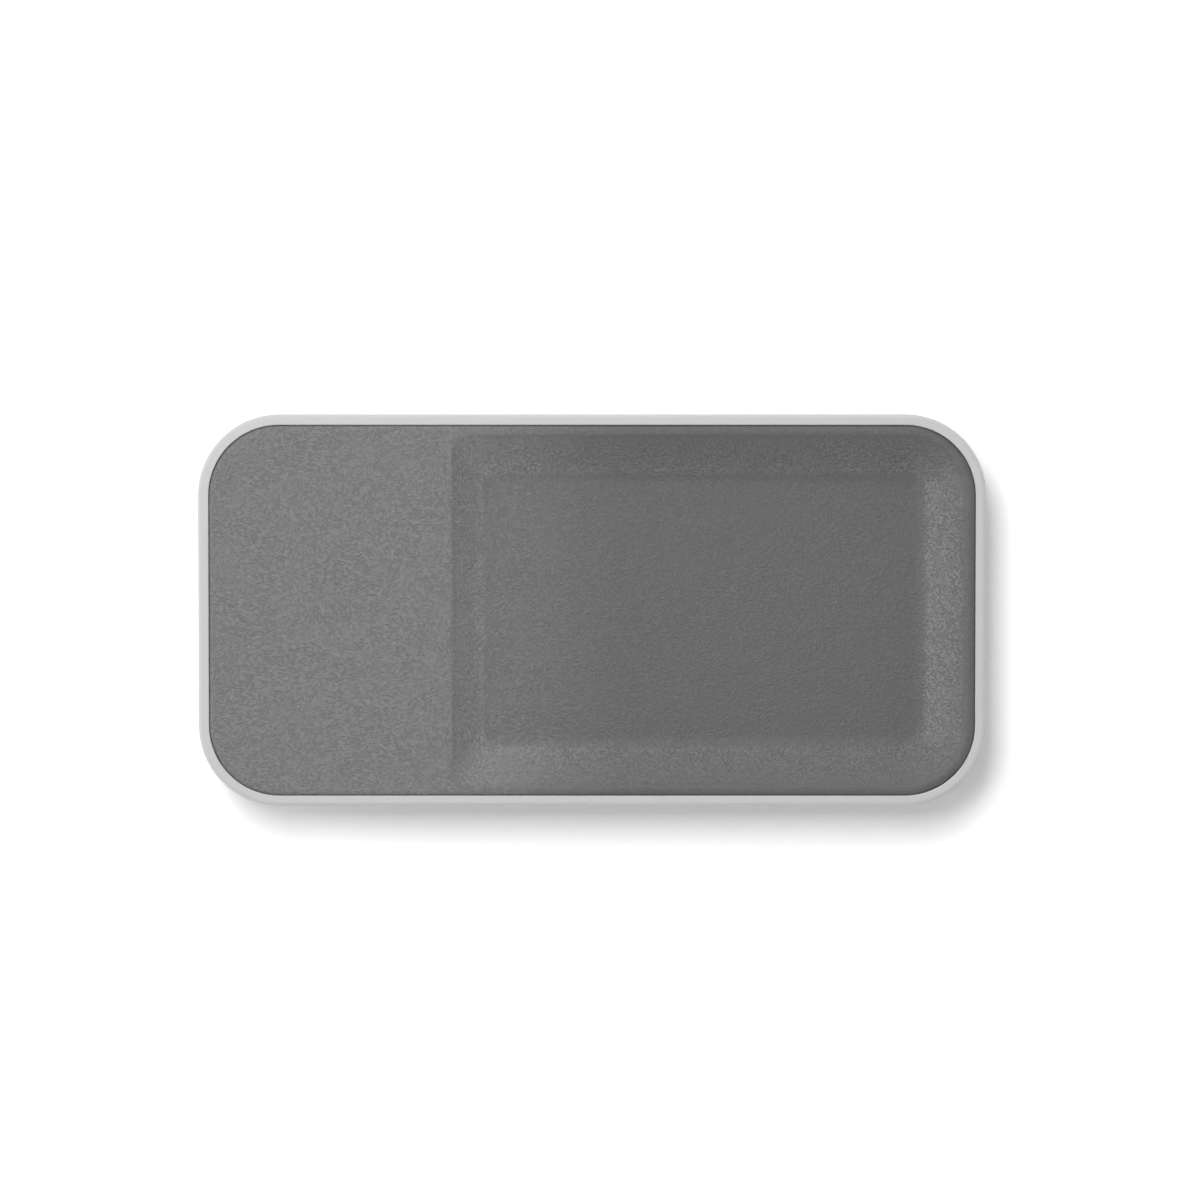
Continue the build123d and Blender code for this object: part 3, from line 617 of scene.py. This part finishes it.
def slopeProfile(run):
    # (way in from the mouth's edge, drop) pairs over the crest, down the slope and onto the floor
    drop = skin["depth"]
    angle = math.atan2(drop, run)
    crest, foot = skin["crestRound"], skin["floorRound"]
    crestReach, footReach = crest * math.tan(angle / 2), foot * math.tan(angle / 2)
    pairs = []
    for step in range(skin["crestSteps"] + 1):
        turn = angle * step / skin["crestSteps"]
        pairs.append((-crestReach + crest * math.sin(turn), crest * (1 - math.cos(turn))))
    startX, startDrop = pairs[-1]
    endX = run - footReach * math.cos(angle)
    endDrop = drop - footReach * math.sin(angle)
    for step in range(1, skin["slopeSteps"]):
        t = step / skin["slopeSteps"]
        pairs.append((startX + (endX - startX) * t, startDrop + (endDrop - startDrop) * t))
    for step in range(skin["footSteps"] + 1):
        turn = angle * (1 - step / skin["footSteps"])
        pairs.append((run + footReach - foot * math.sin(turn), drop - foot * (1 - math.cos(turn))))
    return pairs


def atHeight(flat, height):
    return np.column_stack([flat, np.full(len(flat), height)])


def makeSkin():
    low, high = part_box("tray_skin")
    top = high.z
    mouthLeft = cadBox[0].x + skin["mouthLeft"]
    mouthRight = high.x - skin["mouthMargin"]
    mouthHalf = high.y - skin["mouthMargin"]
    mouthCorner = skin["corner"] - skin["mouthMargin"]
    run, shortRun = skin["slopeRun"], skin["platformSlopeRun"]

    def countFor(length):
        return max(2, round(length / skin["spacing"]))

    arcCount = skin["arcCount"]
    sideCount = countFor(2 * (high.y - skin["corner"]))
    edgeCounts = (sideCount, arcCount, countFor(2 * (high.x - skin["corner"])), arcCount, sideCount)

    def edgeLoop(inset):
        left, right, front, rear = low.x + inset, high.x - inset, low.y + inset, high.y - inset
        return roundedLoop(left, right, front, rear, (skin["corner"] - inset,) * 2, edgeCounts)

    counts = (
        countFor(2 * (mouthHalf - mouthCorner)),
        arcCount,
        countFor(mouthRight - mouthLeft - mouthCorner - skin["mouthLeftCorner"]),
        arcCount // 2,
        countFor(2 * (mouthHalf - skin["mouthLeftCorner"])),
    )
    corners = (mouthCorner, skin["mouthLeftCorner"])
    mouth = roundedLoop(mouthLeft, mouthRight, -mouthHalf, mouthHalf, corners, counts)
    floorHalf = mouthHalf - run
    corners = (skin["floorCorner"],) * 2
    floor = roundedLoop(mouthLeft + shortRun, mouthRight - run, -floorHalf, floorHalf, corners, counts)
    inward = floor - mouth
    reach = np.sqrt((inward ** 2).sum(1))
    inward /= reach[:, None]
    perPoint = [slopeProfile(value) for value in reach]
    slopeRings = []
    for level in range(len(perPoint[0]) - 1, -1, -1):
        way = np.array([pairs[level][0] for pairs in perPoint])
        fall = np.array([pairs[level][1] for pairs in perPoint])
        slopeRings.append(atHeight(mouth + inward * way[:, None], top - fall))

    across, down = skin["edgeAcross"], skin["edgeDown"]
    outward = skin["edgeGap"] - skin["rimGap"]  # from the node's own edge
    edgeRings = []
    for step in range(skin["edgeSteps"] + 1):
        turn = math.pi / 2 * step / skin["edgeSteps"]
        loop = edgeLoop(outward + across * (1 - math.sin(turn)))
        edgeRings.append(atHeight(loop, top - down * (1 - math.cos(turn))))
    hemTop = top - down
    for step in range(1, skin["hemSteps"] + 1):
        edgeRings.append(atHeight(edgeLoop(outward), hemTop + (low.z - hemTop) * step / skin["hemSteps"]))

    floorFlat, floorFaces = fillFlat([slopeRings[0]], skin["fillSpacing"])
    topFlat, topFaces = fillFlat([edgeRings[0], slopeRings[-1]], skin["fillSpacing"])
    parts = [
        (atHeight(floorFlat, slopeRings[0][0][2]), floorFaces),
        joinRings(slopeRings),
        (atHeight(topFlat, top), topFaces),
        joinRings(edgeRings),
    ]
    points, faces = [], []
    for somePoints, someFaces in parts:
        start = sum(len(other) for other in points)
        points.append(somePoints)
        faces += [[start + i for i in face] for face in someFaces]
    piece = newPiece("leather_skin", np.concatenate(points), faces, finishes["darkGreyLeather"])
    piece.modifiers.new("weld", "WELD").merge_threshold = skin["weld"]
    settle(piece)
    reliefOf(piece, (mouthLeft, mouthRight, mouthHalf))
    wall = piece.modifiers.new("wall", "SOLIDIFY")
    wall.thickness, wall.offset = skin["thickness"], -1.0
    return settle(piece)


def wayIn(x, y, recess):
    # from the edge of the recess's mouth inwards; less than nothing outside
    left, right, half = recess
    radius = skin["corner"] - skin["mouthMargin"] if x > (left + right) / 2 else skin["mouthLeftCorner"]
    pastX = abs(x - (left + right) / 2) - ((right - left) / 2 - radius)
    pastY = abs(y) - (half - radius)
    return radius - math.hypot(max(pastX, 0.0), max(pastY, 0.0)) - min(max(pastX, pastY), 0.0)


def slopeGrainAndLightAt(point, normal, recess):
    # how deep the grain is and how much painted light the slope gets: most on the foot of the right slope,
    # which faces the light from the left, nothing on what is flat
    steep = math.hypot(normal.x, normal.y)
    inwards = max(0.0, wayIn(point.x, point.y, recess))
    flat, full = slopeGrainAndLight["steep"]
    grainAndLight = min(1.0, inwards / slopeGrainAndLight["fade"])
    grainAndLight *= slopeGrainAndLight["atMouth"] + (1 - slopeGrainAndLight["atMouth"]) * min(1.0, inwards / slopeGrainAndLight["span"])
    grainAndLight *= min(1.0, max(0.0, (steep - flat) / (full - flat)))
    facing = max(0.0, -normal.x / steep) ** slopeGrainAndLight["facing"] if grainAndLight > 0 else 0.0
    return grainAndLight * (slopeGrainAndLight["otherSlopes"] + (1 - slopeGrainAndLight["otherSlopes"]) * facing)


def foldsAt(point, recess):
    # folds that fan out from the floor into the corners of the recess
    left, right, half = recess
    place, span, lift = point / mm, relief["foldSpan"], 0.0
    for cornerX, outwards in ((right, 1), (left, -1)):
        for side in (1, -1):
            outX = (point.x - cornerX) * outwards + span
            outY = point.y * side - half + span
            if outX <= 0 or outY <= 0 or abs(point.x - cornerX) > span:
                continue
            near = min(1.0, relief["foldRise"] * min(outX, outY) / span)
            where = place * relief["patchScale"] + Vector(relief["patchShift"])
            patch = max(0.0, noise.noise(where) + relief["foldPatch"])
            turn = math.atan2(outY, outX) * relief["foldCount"]
            turn += relief["foldSway"] * noise.noise(place * relief["swayScale"])
            lift += relief["fold"] * near * patch * math.sin(turn)
    return lift


def reliefOf(piece, recess):
    # small waves all over and folds in the corners, with the slopes' grain depth and painted light kept as
    # the mesh's attribute "slope"
    mesh = piece.data
    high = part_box("tray_skin")[1]
    slope = [slopeGrainAndLightAt(vertex.co, vertex.normal, recess) for vertex in mesh.vertices]
    coarse, fine = relief["waveScales"]
    moved = []
    for vertex in mesh.vertices:
        place = vertex.co / mm
        waves = noise.noise(place * coarse) + relief["fineWave"] * noise.noise(place * fine)
        shift = relief["wave"] * (waves - relief["waveSink"]) + foldsAt(vertex.co, recess)
        inset = min(high.x - abs(vertex.co.x), high.y - abs(vertex.co.y))
        moved.append(vertex.co + vertex.normal * shift * min(1.0, max(0.0, inset / relief["edgeFree"])))
    for vertex, place in zip(mesh.vertices, moved):
        vertex.co = place
    mesh.attributes.new("slope", "FLOAT", "POINT").data.foreach_set("value", slope)


leatherSkin = makeSkin()
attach(leatherSkin, "lid")
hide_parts("tray_skin")
print("leather skin has", len(leatherSkin.data.polygons), "faces")


# Felt pieces

dividerPlan = {"voxel": 0.6 * mm, "fuzz": 0.07 * mm, "finish": "dividerFelt"}
felts = {
    "base_liner": {"piece": "felt_liner", "voxel": 0.95 * mm, "fuzz": 0.09 * mm, "finish": "greyFelt"},
    "cross_divider_left": {"piece": "felt_divider_left", **dividerPlan},
    "cross_divider_right": {"piece": "felt_divider_right", **dividerPlan},
    "lengthwise_divider": {"piece": "felt_divider_long", **dividerPlan},
}
feltMesh = {
    "smooth": 0.5,
    "smoothings": 2,
    "lumps": (0.8, 1.9),  # to the millimetre
    "fineLumps": 0.6,
    "fineShift": (5, 1, 3),
    "sink": 0.6,  # share of the fuzz by which the face sinks, so that its lumps stay inside the node
}


def lumpAt(place, scales, shift=(0, 0, 0)):
    coarse, fine = scales
    return noise.noise(place * coarse) + feltMesh["fineLumps"] * noise.noise(place * fine + Vector(shift))


def makeFeltPiece(node, plan):
    # pressed felt in the space of its node, with softened edges and a slightly uneven face
    mesh = nodes[node].data.copy()
    mesh.name = plan["piece"]
    piece = addObject(plan["piece"], mesh)
    piece.modifiers.new("weld", "WELD").merge_threshold = weldGap
    remesh = piece.modifiers.new("remesh", "REMESH")
    remesh.mode, remesh.voxel_size = "VOXEL", plan["voxel"]
    smooth = piece.modifiers.new("smooth", "SMOOTH")
    smooth.factor, smooth.iterations = feltMesh["smooth"], feltMesh["smoothings"]
    settle(piece)
    low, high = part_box(node)
    moved = []
    for vertex in piece.data.vertices:
        lump = lumpAt(vertex.co / mm, feltMesh["lumps"], feltMesh["fineShift"])
        point = vertex.co + vertex.normal * plan["fuzz"] * feltMesh["sink"] * (lump - 1)
        moved.append([min(max(point[axis], low[axis]), high[axis]) for axis in range(3)])
    for vertex, point in zip(piece.data.vertices, moved):
        vertex.co = point
    piece.data.materials.clear()
    piece.data.materials.append(finishes[plan["finish"]])
    piece.data.shade_smooth()
    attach(piece, "base")
    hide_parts(node)
    return piece


for node, plan in felts.items():
    print(plan["piece"], "has", len(makeFeltPiece(node, plan).data.polygons), "faces")


lining = {
    "corner": 21.2 * mm,
    "lugRadius": 4.4 * mm,
    "spacing": 1.6 * mm,
    "bendSpacing": 0.96 * mm,
    "fuzz": 0.035 * mm,
    "unevenness": 0.6,  # as a share of the fuzz
    "lumps": (0.5, 1.3),
    "edgeRound": 0.25 * mm,
    "edgeAngle": math.radians(50),
}


def makeLining():
    # the felt sheet glued inside the lid, cut round the magnets' lugs and square at the hinge
    low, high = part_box("lid_lining")
    corner, spacing = lining["corner"], lining["spacing"]
    outline = []

    def run(start, end):
        outline.extend(straight(start, end, max(2, round(math.dist(start, end) / spacing))))

    def bend(x, y, radius, first, last):
        count = max(4, round(abs(last - first) * radius / lining["bendSpacing"]))
        outline.extend(arc(x, y, radius, first, last, count))

    fullRear = -low.y  # the uncut sheet is even about the middle
    rearShare = math.asin(min(1.0, (high.y - fullRear + corner) / corner))
    rearX = high.x - corner + corner * math.cos(rearShare)
    run((high.x, low.y + corner), (high.x, fullRear - corner))
    bend(high.x - corner, fullRear - corner, corner, 0, rearShare)
    run((rearX, high.y), (-rearX, high.y))
    bend(low.x + corner, fullRear - corner, corner, math.pi - rearShare, math.pi)
    run((low.x, fullRear - corner), (low.x, low.y + corner))
    bend(low.x + corner, low.y + corner, corner, math.pi, 1.5 * math.pi)
    x = low.x + corner
    for magnet in ("lid_magnet_left", "lid_magnet_right"):
        first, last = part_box(magnet)
        middle = (first + last) / 2
        drop = middle.y - low.y
        half = math.sqrt(lining["lugRadius"] ** 2 - drop ** 2)
        side = math.asin(drop / lining["lugRadius"])
        run((x, low.y), (middle.x - half, low.y))
        bend(middle.x, middle.y, lining["lugRadius"], math.pi + side, -side)
        x = middle.x + half
    run((x, low.y), (high.x - corner, low.y))
    bend(high.x - corner, low.y + corner, corner, 1.5 * math.pi, 2 * math.pi)
    flat, faces = fillFlat([outline], spacing)
    points = []
    for x, y in flat:
        lump = lumpAt(Vector((x, y, 0)) / mm, lining["lumps"])
        points.append((x, y, low.z + lining["fuzz"] * (1.0 + lining["unevenness"] * lump)))
    piece = newPiece("felt_lining", points, [face[::-1] for face in faces], finishes["greyFelt"])
    wall = piece.modifiers.new("wall", "SOLIDIFY")
    wall.thickness, wall.offset = high.z - low.z - 2 * lining["fuzz"], -1.0
    soften = piece.modifiers.new("soften", "BEVEL")
    soften.width, soften.segments, soften.limit_method = lining["edgeRound"], 2, "ANGLE"
    soften.angle_limit = lining["edgeAngle"]
    settle(piece)
    piece.data.shade_smooth()
    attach(piece, "lid")
    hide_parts("lid_lining")
    return piece


feltLining = makeLining()
print("felt lining has", len(feltLining.data.polygons), "faces")


# What repeats or follows a path, made with Geometry Nodes

def newGeometryTree(name, inputs):
    # a tree that starts from some geometry, with inputs as names and kinds
    tree = bpy.data.node_groups.new(name, "GeometryNodeTree")
    for label, kind in {"Geometry": "Geometry", **inputs}.items():
        tree.interface.new_socket(name=label, in_out="INPUT", socket_type="NodeSocket" + kind)
    tree.interface.new_socket(name="Geometry", in_out="OUTPUT", socket_type="NodeSocketGeometry")
    return tree, tree.nodes.new("NodeGroupInput").outputs


def make(tree, kind, inputs, output=0, **settings):
    return addNode(tree, "GeometryNode" + kind, inputs, **settings).outputs[output]


def endTree(tree, result, material):
    whole = make(tree, "RealizeInstances", {"Geometry": result})
    named = make(tree, "SetMaterial", {"Geometry": whole, "Material": material})
    addNode(tree, "NodeGroupOutput", {"Geometry": named})


def grow(name, tree, values, points=()):
    # the tree's result as a plain mesh; points are the vertices that it starts from
    mesh = bpy.data.meshes.new(name)
    mesh.from_pydata([tuple(point) for point in points], [], [])
    piece = addObject(name, mesh)
    maker = piece.modifiers.new("maker", "NODES")
    maker.node_group = tree
    sockets = [item for item in tree.interface.items_tree if item.in_out == "INPUT"]
    places = {item.name: item.identifier for item in sockets}
    for label, value in values.items():
        maker[places[label]] = value
    return settle(piece)


def solidsOf(node):
    # lowest and highest corner of each separate solid in a node
    copy = nodes[node].data.copy()
    shape = bmesh.new()
    shape.from_mesh(copy)
    bmesh.ops.remove_doubles(shape, verts=shape.verts, dist=weldGap)
    left, boxes = set(shape.verts), []
    while left:
        found, edge = set(), [next(iter(left))]
        while edge:
            vertex = edge.pop()
            if vertex in found:
                continue
            found.add(vertex)
            edge += [line.other_vert(vertex) for line in vertex.link_edges]
        left -= found
        corners = np.array([tuple(vertex.co) for vertex in found])
        boxes.append((Vector(corners.min(0)), Vector(corners.max(0))))
    shape.free()
    bpy.data.meshes.remove(copy)
    return sorted(boxes, key=lambda box: (round(box[0].x, 4), round(box[0].y, 4)))


def curveTube(tree, path, profile):
    return make(tree, "CurveToMesh", {"Curve": path, "Profile Curve": profile, "Fill Caps": True})


winding = {
    "turns": 9.0,
    "innerRadius": 9.6 * mm,
    "pitch": 1.3 * mm,
    "wire": 0.8 * mm,
    "lay": 7.0 * mm,  # along the wire, for one twist of its strands
    "lobes": 6,
    "lobePoints": 3,
    "lobeDepth": 0.14,
    "stepsPerTurn": 110,
}


def makeWinding():
    # a flat spiral of stranded wire; its left side is drawn in as on the node, whose half turns keep
    # one radius
    kinds = {name: "Float" for name in ("Turns", "Start Radius", "Pitch", "Wire", "Lay")}
    tree, given = newGeometryTree("spiralWinding", {**kinds, "Centre": "Vector", "Finish": "Material"})
    start = given["Start Radius"]
    end = calc(tree, "MULTIPLY_ADD", given["Turns"], given["Pitch"], start)
    size = {"Rotations": given["Turns"], "Start Radius": start, "End Radius": end, "Height": 0.0}
    spiral = make(tree, "CurveSpiral", {"Resolution": winding["stepsPerTurn"], **size})
    along = tree.nodes.new("GeometryNodeSplineParameter").outputs["Length"]
    twist = calc(tree, "MULTIPLY", calc(tree, "DIVIDE", along, given["Lay"]), 2 * math.pi)
    path = make(tree, "SetCurveTilt", {"Curve": spiral, "Tilt": twist})
    count = winding["lobes"] * winding["lobePoints"]
    radius = calc(tree, "MULTIPLY", given["Wire"], 0.5)
    ring = make(tree, "CurvePrimitiveCircle", {"Resolution": count, "Radius": radius})
    index = tree.nodes.new("GeometryNodeInputIndex").outputs[0]
    wave = calc(tree, "SINE", calc(tree, "MULTIPLY", index, math.pi / winding["lobePoints"]))
    groove = calc(tree, "SUBTRACT", calc(tree, "ABSOLUTE", wave), 1.0)
    share = calc(tree, "MULTIPLY_ADD", groove, winding["lobeDepth"], 1.0)
    place = tree.nodes.new("GeometryNodeInputPosition").outputs[0]
    lobed = make(tree, "SetPosition", {"Geometry": ring, "Position": scaled(tree, place, share)})
    tube = curveTube(tree, path, lobed)
    placed = make(tree, "Transform", {"Geometry": tube, "Translation": given["Centre"]})
    endTree(tree, placed, given["Finish"])
    low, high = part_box("charging_coil")
    centre = sum(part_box("ferrite_shield"), Vector()) / 2
    drawIn = winding["pitch"] / 4
    values = {
        "Turns": winding["turns"],
        "Start Radius": winding["innerRadius"] - drawIn,
        "Pitch": winding["pitch"],
        "Wire": winding["wire"],
        "Lay": winding["lay"],
        "Centre": (centre.x + drawIn, centre.y, (low.z + high.z) / 2),
        "Finish": finishes["enamelledCopper"],
    }
    piece = grow("coil_winding", tree, values)
    piece.data.shade_smooth()
    return piece


coilWinding = makeWinding()
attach(coilWinding, "lid")
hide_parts("charging_coil")
print("coil winding has", len(coilWinding.data.polygons), "faces")


screws = {
    "headRadius": 1.9 * mm,
    "headHeight": 1.0 * mm,
    "shankRadius": 0.78 * mm,
    "shankStart": 0.9 * mm,  # a little inside the head
    "threadRadius": 0.9 * mm,
    "threadPitch": 0.55 * mm,
    "threadStart": 1.3 * mm,  # from the flat of the head
    "threadSteps": 24,
    "threadSides": 4,
    "tipHeight": 0.6 * mm,
    "tipRadius": 0.156 * mm,
    "driveRadius": 0.85 * mm,
    "driveDepth": 0.55 * mm,
    "driveSides": 6,
    "sides": 28,
}


def makeScrewTree():
    # countersunk screws that point up, one on each vertex: head with a hexagonal drive, core, tip and thread
    tree, given = newGeometryTree("countersunkScrews", {"Length": "Float", "Finish": "Material"})
    shank, driveRadius, driveDepth = screws["shankRadius"], screws["driveRadius"], screws["driveDepth"]

    def cone(depth, bottom, top, lift, sides=screws["sides"]):
        size = {"Vertices": sides, "Radius Bottom": bottom, "Radius Top": top, "Depth": depth}
        raised = addNode(tree, "ShaderNodeCombineXYZ", {"Z": lift}).outputs[0]
        made = make(tree, "MeshCone", size, "Mesh")
        return make(tree, "Transform", {"Geometry": made, "Translation": raised})

    head = cone(screws["headHeight"], screws["headRadius"], shank, 0.0)
    drive = cone(2 * driveDepth, driveRadius, driveRadius, -driveDepth, screws["driveSides"])
    cut = make(tree, "MeshBoolean", {"Mesh 1": head, "Mesh 2": drive}, "Mesh", operation="DIFFERENCE")
    tipStart = calc(tree, "SUBTRACT", given["Length"], screws["tipHeight"])
    coreStart = screws["shankStart"]
    core = cone(calc(tree, "SUBTRACT", tipStart, coreStart), shank, shank, coreStart)
    tip = cone(screws["tipHeight"], shank, screws["tipRadius"], tipStart)
    rise = calc(tree, "SUBTRACT", tipStart, screws["threadStart"])
    turns = calc(tree, "DIVIDE", rise, screws["threadPitch"])
    size = {"Rotations": turns, "Start Radius": shank, "End Radius": shank, "Height": rise}
    path = make(tree, "CurveSpiral", {"Resolution": screws["threadSteps"], **size})
    size = {"Resolution": screws["threadSides"], "Radius": screws["threadRadius"] - shank}
    ridge = curveTube(tree, path, make(tree, "CurvePrimitiveCircle", size))
    thread = make(tree, "Transform", {"Geometry": ridge, "Translation": (0, 0, screws["threadStart"])})
    joined = tree.nodes.new("GeometryNodeJoinGeometry")
    for part in (thread, tip, core, cut):
        tree.links.new(part, joined.inputs[0])
    many = make(tree, "InstanceOnPoints", {"Points": given["Geometry"], "Instance": joined.outputs[0]})
    endTree(tree, many, given["Finish"])
    return tree


screwTree = makeScrewTree()
for node, pieceName in (("lid_screws", "cover_screws"), ("inner_screws", "board_and_bracket_screws")):
    boxes = solidsOf(node)
    feet = [((low.x + high.x) / 2, (low.y + high.y) / 2, low.z) for low, high in boxes]
    length = boxes[0][1].z - boxes[0][0].z
    piece = grow(pieceName, screwTree, {"Length": length, "Finish": finishes["zincSteel"]}, feet)
    piece.data.shade_flat()
    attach(piece, "lid")
    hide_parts(node)
    print(len(feet), "screws in", pieceName)


contacts = {
    "count": 12,
    "pitch": 0.5 * mm,
    "width": 0.27 * mm,
    "length": 3.3 * mm,
    "thickness": 0.05 * mm,
    "mouthGap": 0.5 * mm,  # from the tongue's end
    "tongue": 0.7 * mm,  # its thickness
}


def makeContacts():
    # gilt contacts on both faces of the tongue in the inlet
    kinds = {"Count": "Int", "Pitch": "Float", "Size": "Vector", "Finish": "Material"}
    tree, given = newGeometryTree("contactRow", kinds)
    bar = make(tree, "MeshCube", {"Size": given["Size"]}, "Mesh")
    step = addNode(tree, "ShaderNodeCombineXYZ", {"X": given["Pitch"]}).outputs[0]
    line = make(tree, "MeshLine", {"Count": given["Count"], "Offset": step})
    row = make(tree, "InstanceOnPoints", {"Points": line, "Instance": bar})
    rows = make(tree, "InstanceOnPoints", {"Points": given["Geometry"], "Instance": row})
    endTree(tree, rows, given["Finish"])
    low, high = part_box("port_tongue")
    middle = (low + high) / 2
    reach = contacts["pitch"] * (contacts["count"] - 1) / 2
    y = high.y - contacts["mouthGap"] - contacts["length"] / 2
    starts = [(middle.x - reach, y, middle.z + side * contacts["tongue"] / 2) for side in (-1, 1)]
    values = {
        "Count": contacts["count"],
        "Pitch": contacts["pitch"],
        "Size": (contacts["width"], contacts["length"], contacts["thickness"]),
        "Finish": finishes["contactGold"],
    }
    return grow("inlet_contacts", tree, values, starts)


inletContacts = makeContacts()
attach(inletContacts, "lid")
print("inlet contacts have", len(inletContacts.data.polygons), "faces")


# Camera, lights and floor

cameraPlan = {
    "distance": 1.25,  # to the rim
    "tilt": 2.2,  # degrees from straight down, towards the rear
    "frameWidth": 354.6 * mm,  # what the picture spans at the rim
    "middle": (2.33 * mm, 3.15 * mm),  # the point of the rim's level in the middle of the picture
    "sensor": 36,
    "clip": (0.01, 20),
}
lightPlan = {
    "keyPower": 9.0,
    "keySize": (0.27, 0.41),
    "keyPlace": (-0.165, 0.335, 1.35),
    "fillPower": 1.7,
    "fillSize": (0.6, 0.6),
    "fillPlace": (-1.0, 0.1, 0.65),
    "overhead": 0.14,
    "walls": 0.5,  # the surroundings at half height
    "horizon": 1.5,
    "wallFoot": (0.1, 0.4),  # height of the direction, where the horizon turns into wall
    "wallTop": (0.5, 0.92),  # and the wall into ceiling
    "towardsLeft": 0.3,  # how much brighter the walls are on one side than in the middle
    "towardsRear": 0.45,
}
floorPlan = {
    "half": 4.0,
    "tone": 0.9,
    "seen": 1.3,  # how light the floor's own colour is to the eye
    "lift": 0.03,
    "fade": (0.22, 0.75),  # from the lit floor to the plain white far away
}
plainWhite = {"Color": (1, 1, 1, 1), "Strength": 1.0}


def makeCamera():
    data = bpy.data.cameras.new("camera")
    camera = addObject("camera", data)
    tilt = math.radians(cameraPlan["tilt"])
    distance = cameraPlan["distance"]
    aimX, aimY = cameraPlan["middle"]
    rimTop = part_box("lid_frame")[1].z
    camera.location = (aimX, aimY + distance * math.sin(tilt), rimTop + distance * math.cos(tilt))
    camera.rotation_euler = (-tilt, 0, 0)
    data.sensor_width = cameraPlan["sensor"]
    data.lens = data.sensor_width * distance / cameraPlan["frameWidth"]
    data.clip_start, data.clip_end = cameraPlan["clip"]
    bpy.context.scene.camera = camera


def makeAreaLight(name):
    data = bpy.data.lights.new(name, "AREA")
    data.shape, data.energy = "RECTANGLE", lightPlan[name + "Power"]
    data.size, data.size_y = lightPlan[name + "Size"]
    place = Vector(lightPlan[name + "Place"])
    back = place.normalized()
    side = Vector((0, 1, 0)).cross(back).normalized()
    turn = Matrix((side, back.cross(side), back)).transposed()
    addObject(name, data).matrix_world = Matrix.Translation(place) @ turn.to_4x4()


def makeWorld():
    # a studio with pale walls, which the eye sees as plain white
    plan = lightPlan
    world = bpy.data.worlds.new("studio")
    world.use_nodes = True
    tree = world.node_tree
    tree.nodes.clear()
    direction = addNode(tree, "ShaderNodeTexCoord").outputs["Generated"]
    along = addNode(tree, "ShaderNodeSeparateXYZ", {"Vector": direction}).outputs
    side = calc(tree, "MULTIPLY_ADD", along["Y"], plan["towardsRear"], 1.0)
    side = calc(tree, "MULTIPLY_ADD", along["X"], -plan["towardsLeft"], side)
    walls = calc(tree, "MULTIPLY", side, spread(tree, along["Z"], *plan["wallTop"], plan["walls"], 0.0))
    low = spread(tree, along["Z"], *plan["wallFoot"], plan["horizon"] - plan["walls"], 0.0)
    high = spread(tree, along["Z"], *plan["wallTop"], 0.0, plan["overhead"])
    level = calc(tree, "ADD", calc(tree, "ADD", walls, low), high)
    light = addNode(tree, "ShaderNodeBackground", {"Color": level})
    white = addNode(tree, "ShaderNodeBackground", plainWhite)
    rays = addNode(tree, "ShaderNodeLightPath").outputs
    around = spread(tree, along["Z"], *plan["wallTop"], 1.0, 0.0)  # gloss shows white walls and a dim ceiling
    mirrored = calc(tree, "MULTIPLY", rays["Is Glossy Ray"], around)
    seen = calc(tree, "MAXIMUM", rays["Is Camera Ray"], rays["Is Transmission Ray"])
    seen = calc(tree, "MAXIMUM", mirrored, seen)
    mixed = addNode(tree, "ShaderNodeMixShader", {0: seen, 1: light.outputs[0], 2: white.outputs[0]})
    addNode(tree, "ShaderNodeOutputWorld", {"Surface": mixed.outputs[0]})
    bpy.context.scene.world = world


def makeFloor():
    # pale floor that keeps the shadow near the object and is plain white to the eye further away
    material = bpy.data.materials.new("paleFloor")
    material.use_nodes = True
    tree = material.node_tree
    tree.nodes.clear()
    rays = addNode(tree, "ShaderNodeLightPath").outputs
    mirrored = calc(tree, "MAXIMUM", rays["Is Glossy Ray"], rays["Is Transmission Ray"])
    seen = calc(tree, "MAXIMUM", rays["Is Camera Ray"], mirrored)
    level = spread(tree, seen, 0.0, 1.0, floorPlan["tone"], floorPlan["seen"])
    matt = addNode(tree, "ShaderNodeBsdfDiffuse", {"Color": level})
    place = addNode(tree, "ShaderNodeTexCoord").outputs["Object"]
    reach = addNode(tree, "ShaderNodeVectorMath", {0: place}, operation="LENGTH").outputs["Value"]
    share = calc(tree, "MULTIPLY", seen, spread(tree, reach, *floorPlan["fade"]))
    white = addNode(tree, "ShaderNodeEmission", plainWhite)
    lift = calc(tree, "MULTIPLY", seen, floorPlan["lift"])
    glow = addNode(tree, "ShaderNodeEmission", {**plainWhite, "Strength": lift})
    lit = addNode(tree, "ShaderNodeAddShader", {0: matt.outputs[0], 1: glow.outputs[0]})
    shown = addNode(tree, "ShaderNodeMixShader", {0: share, 1: lit.outputs[0], 2: white.outputs[0]})
    addNode(tree, "ShaderNodeOutputMaterial", {"Surface": shown.outputs[0]})
    half = floorPlan["half"]
    corners = [(-half, -half, 0), (half, -half, 0), (half, half, 0), (-half, half, 0)]
    newPiece("floor", corners, [(0, 1, 2, 3)], material)


makeCamera()
for name in ("key", "fill"):
    makeAreaLight(name)
makeWorld()
makeFloor()
bpy.context.scene.view_settings.view_transform = "Standard"
print("camera, lights and floor set")

bpy.context.view_layer.update()
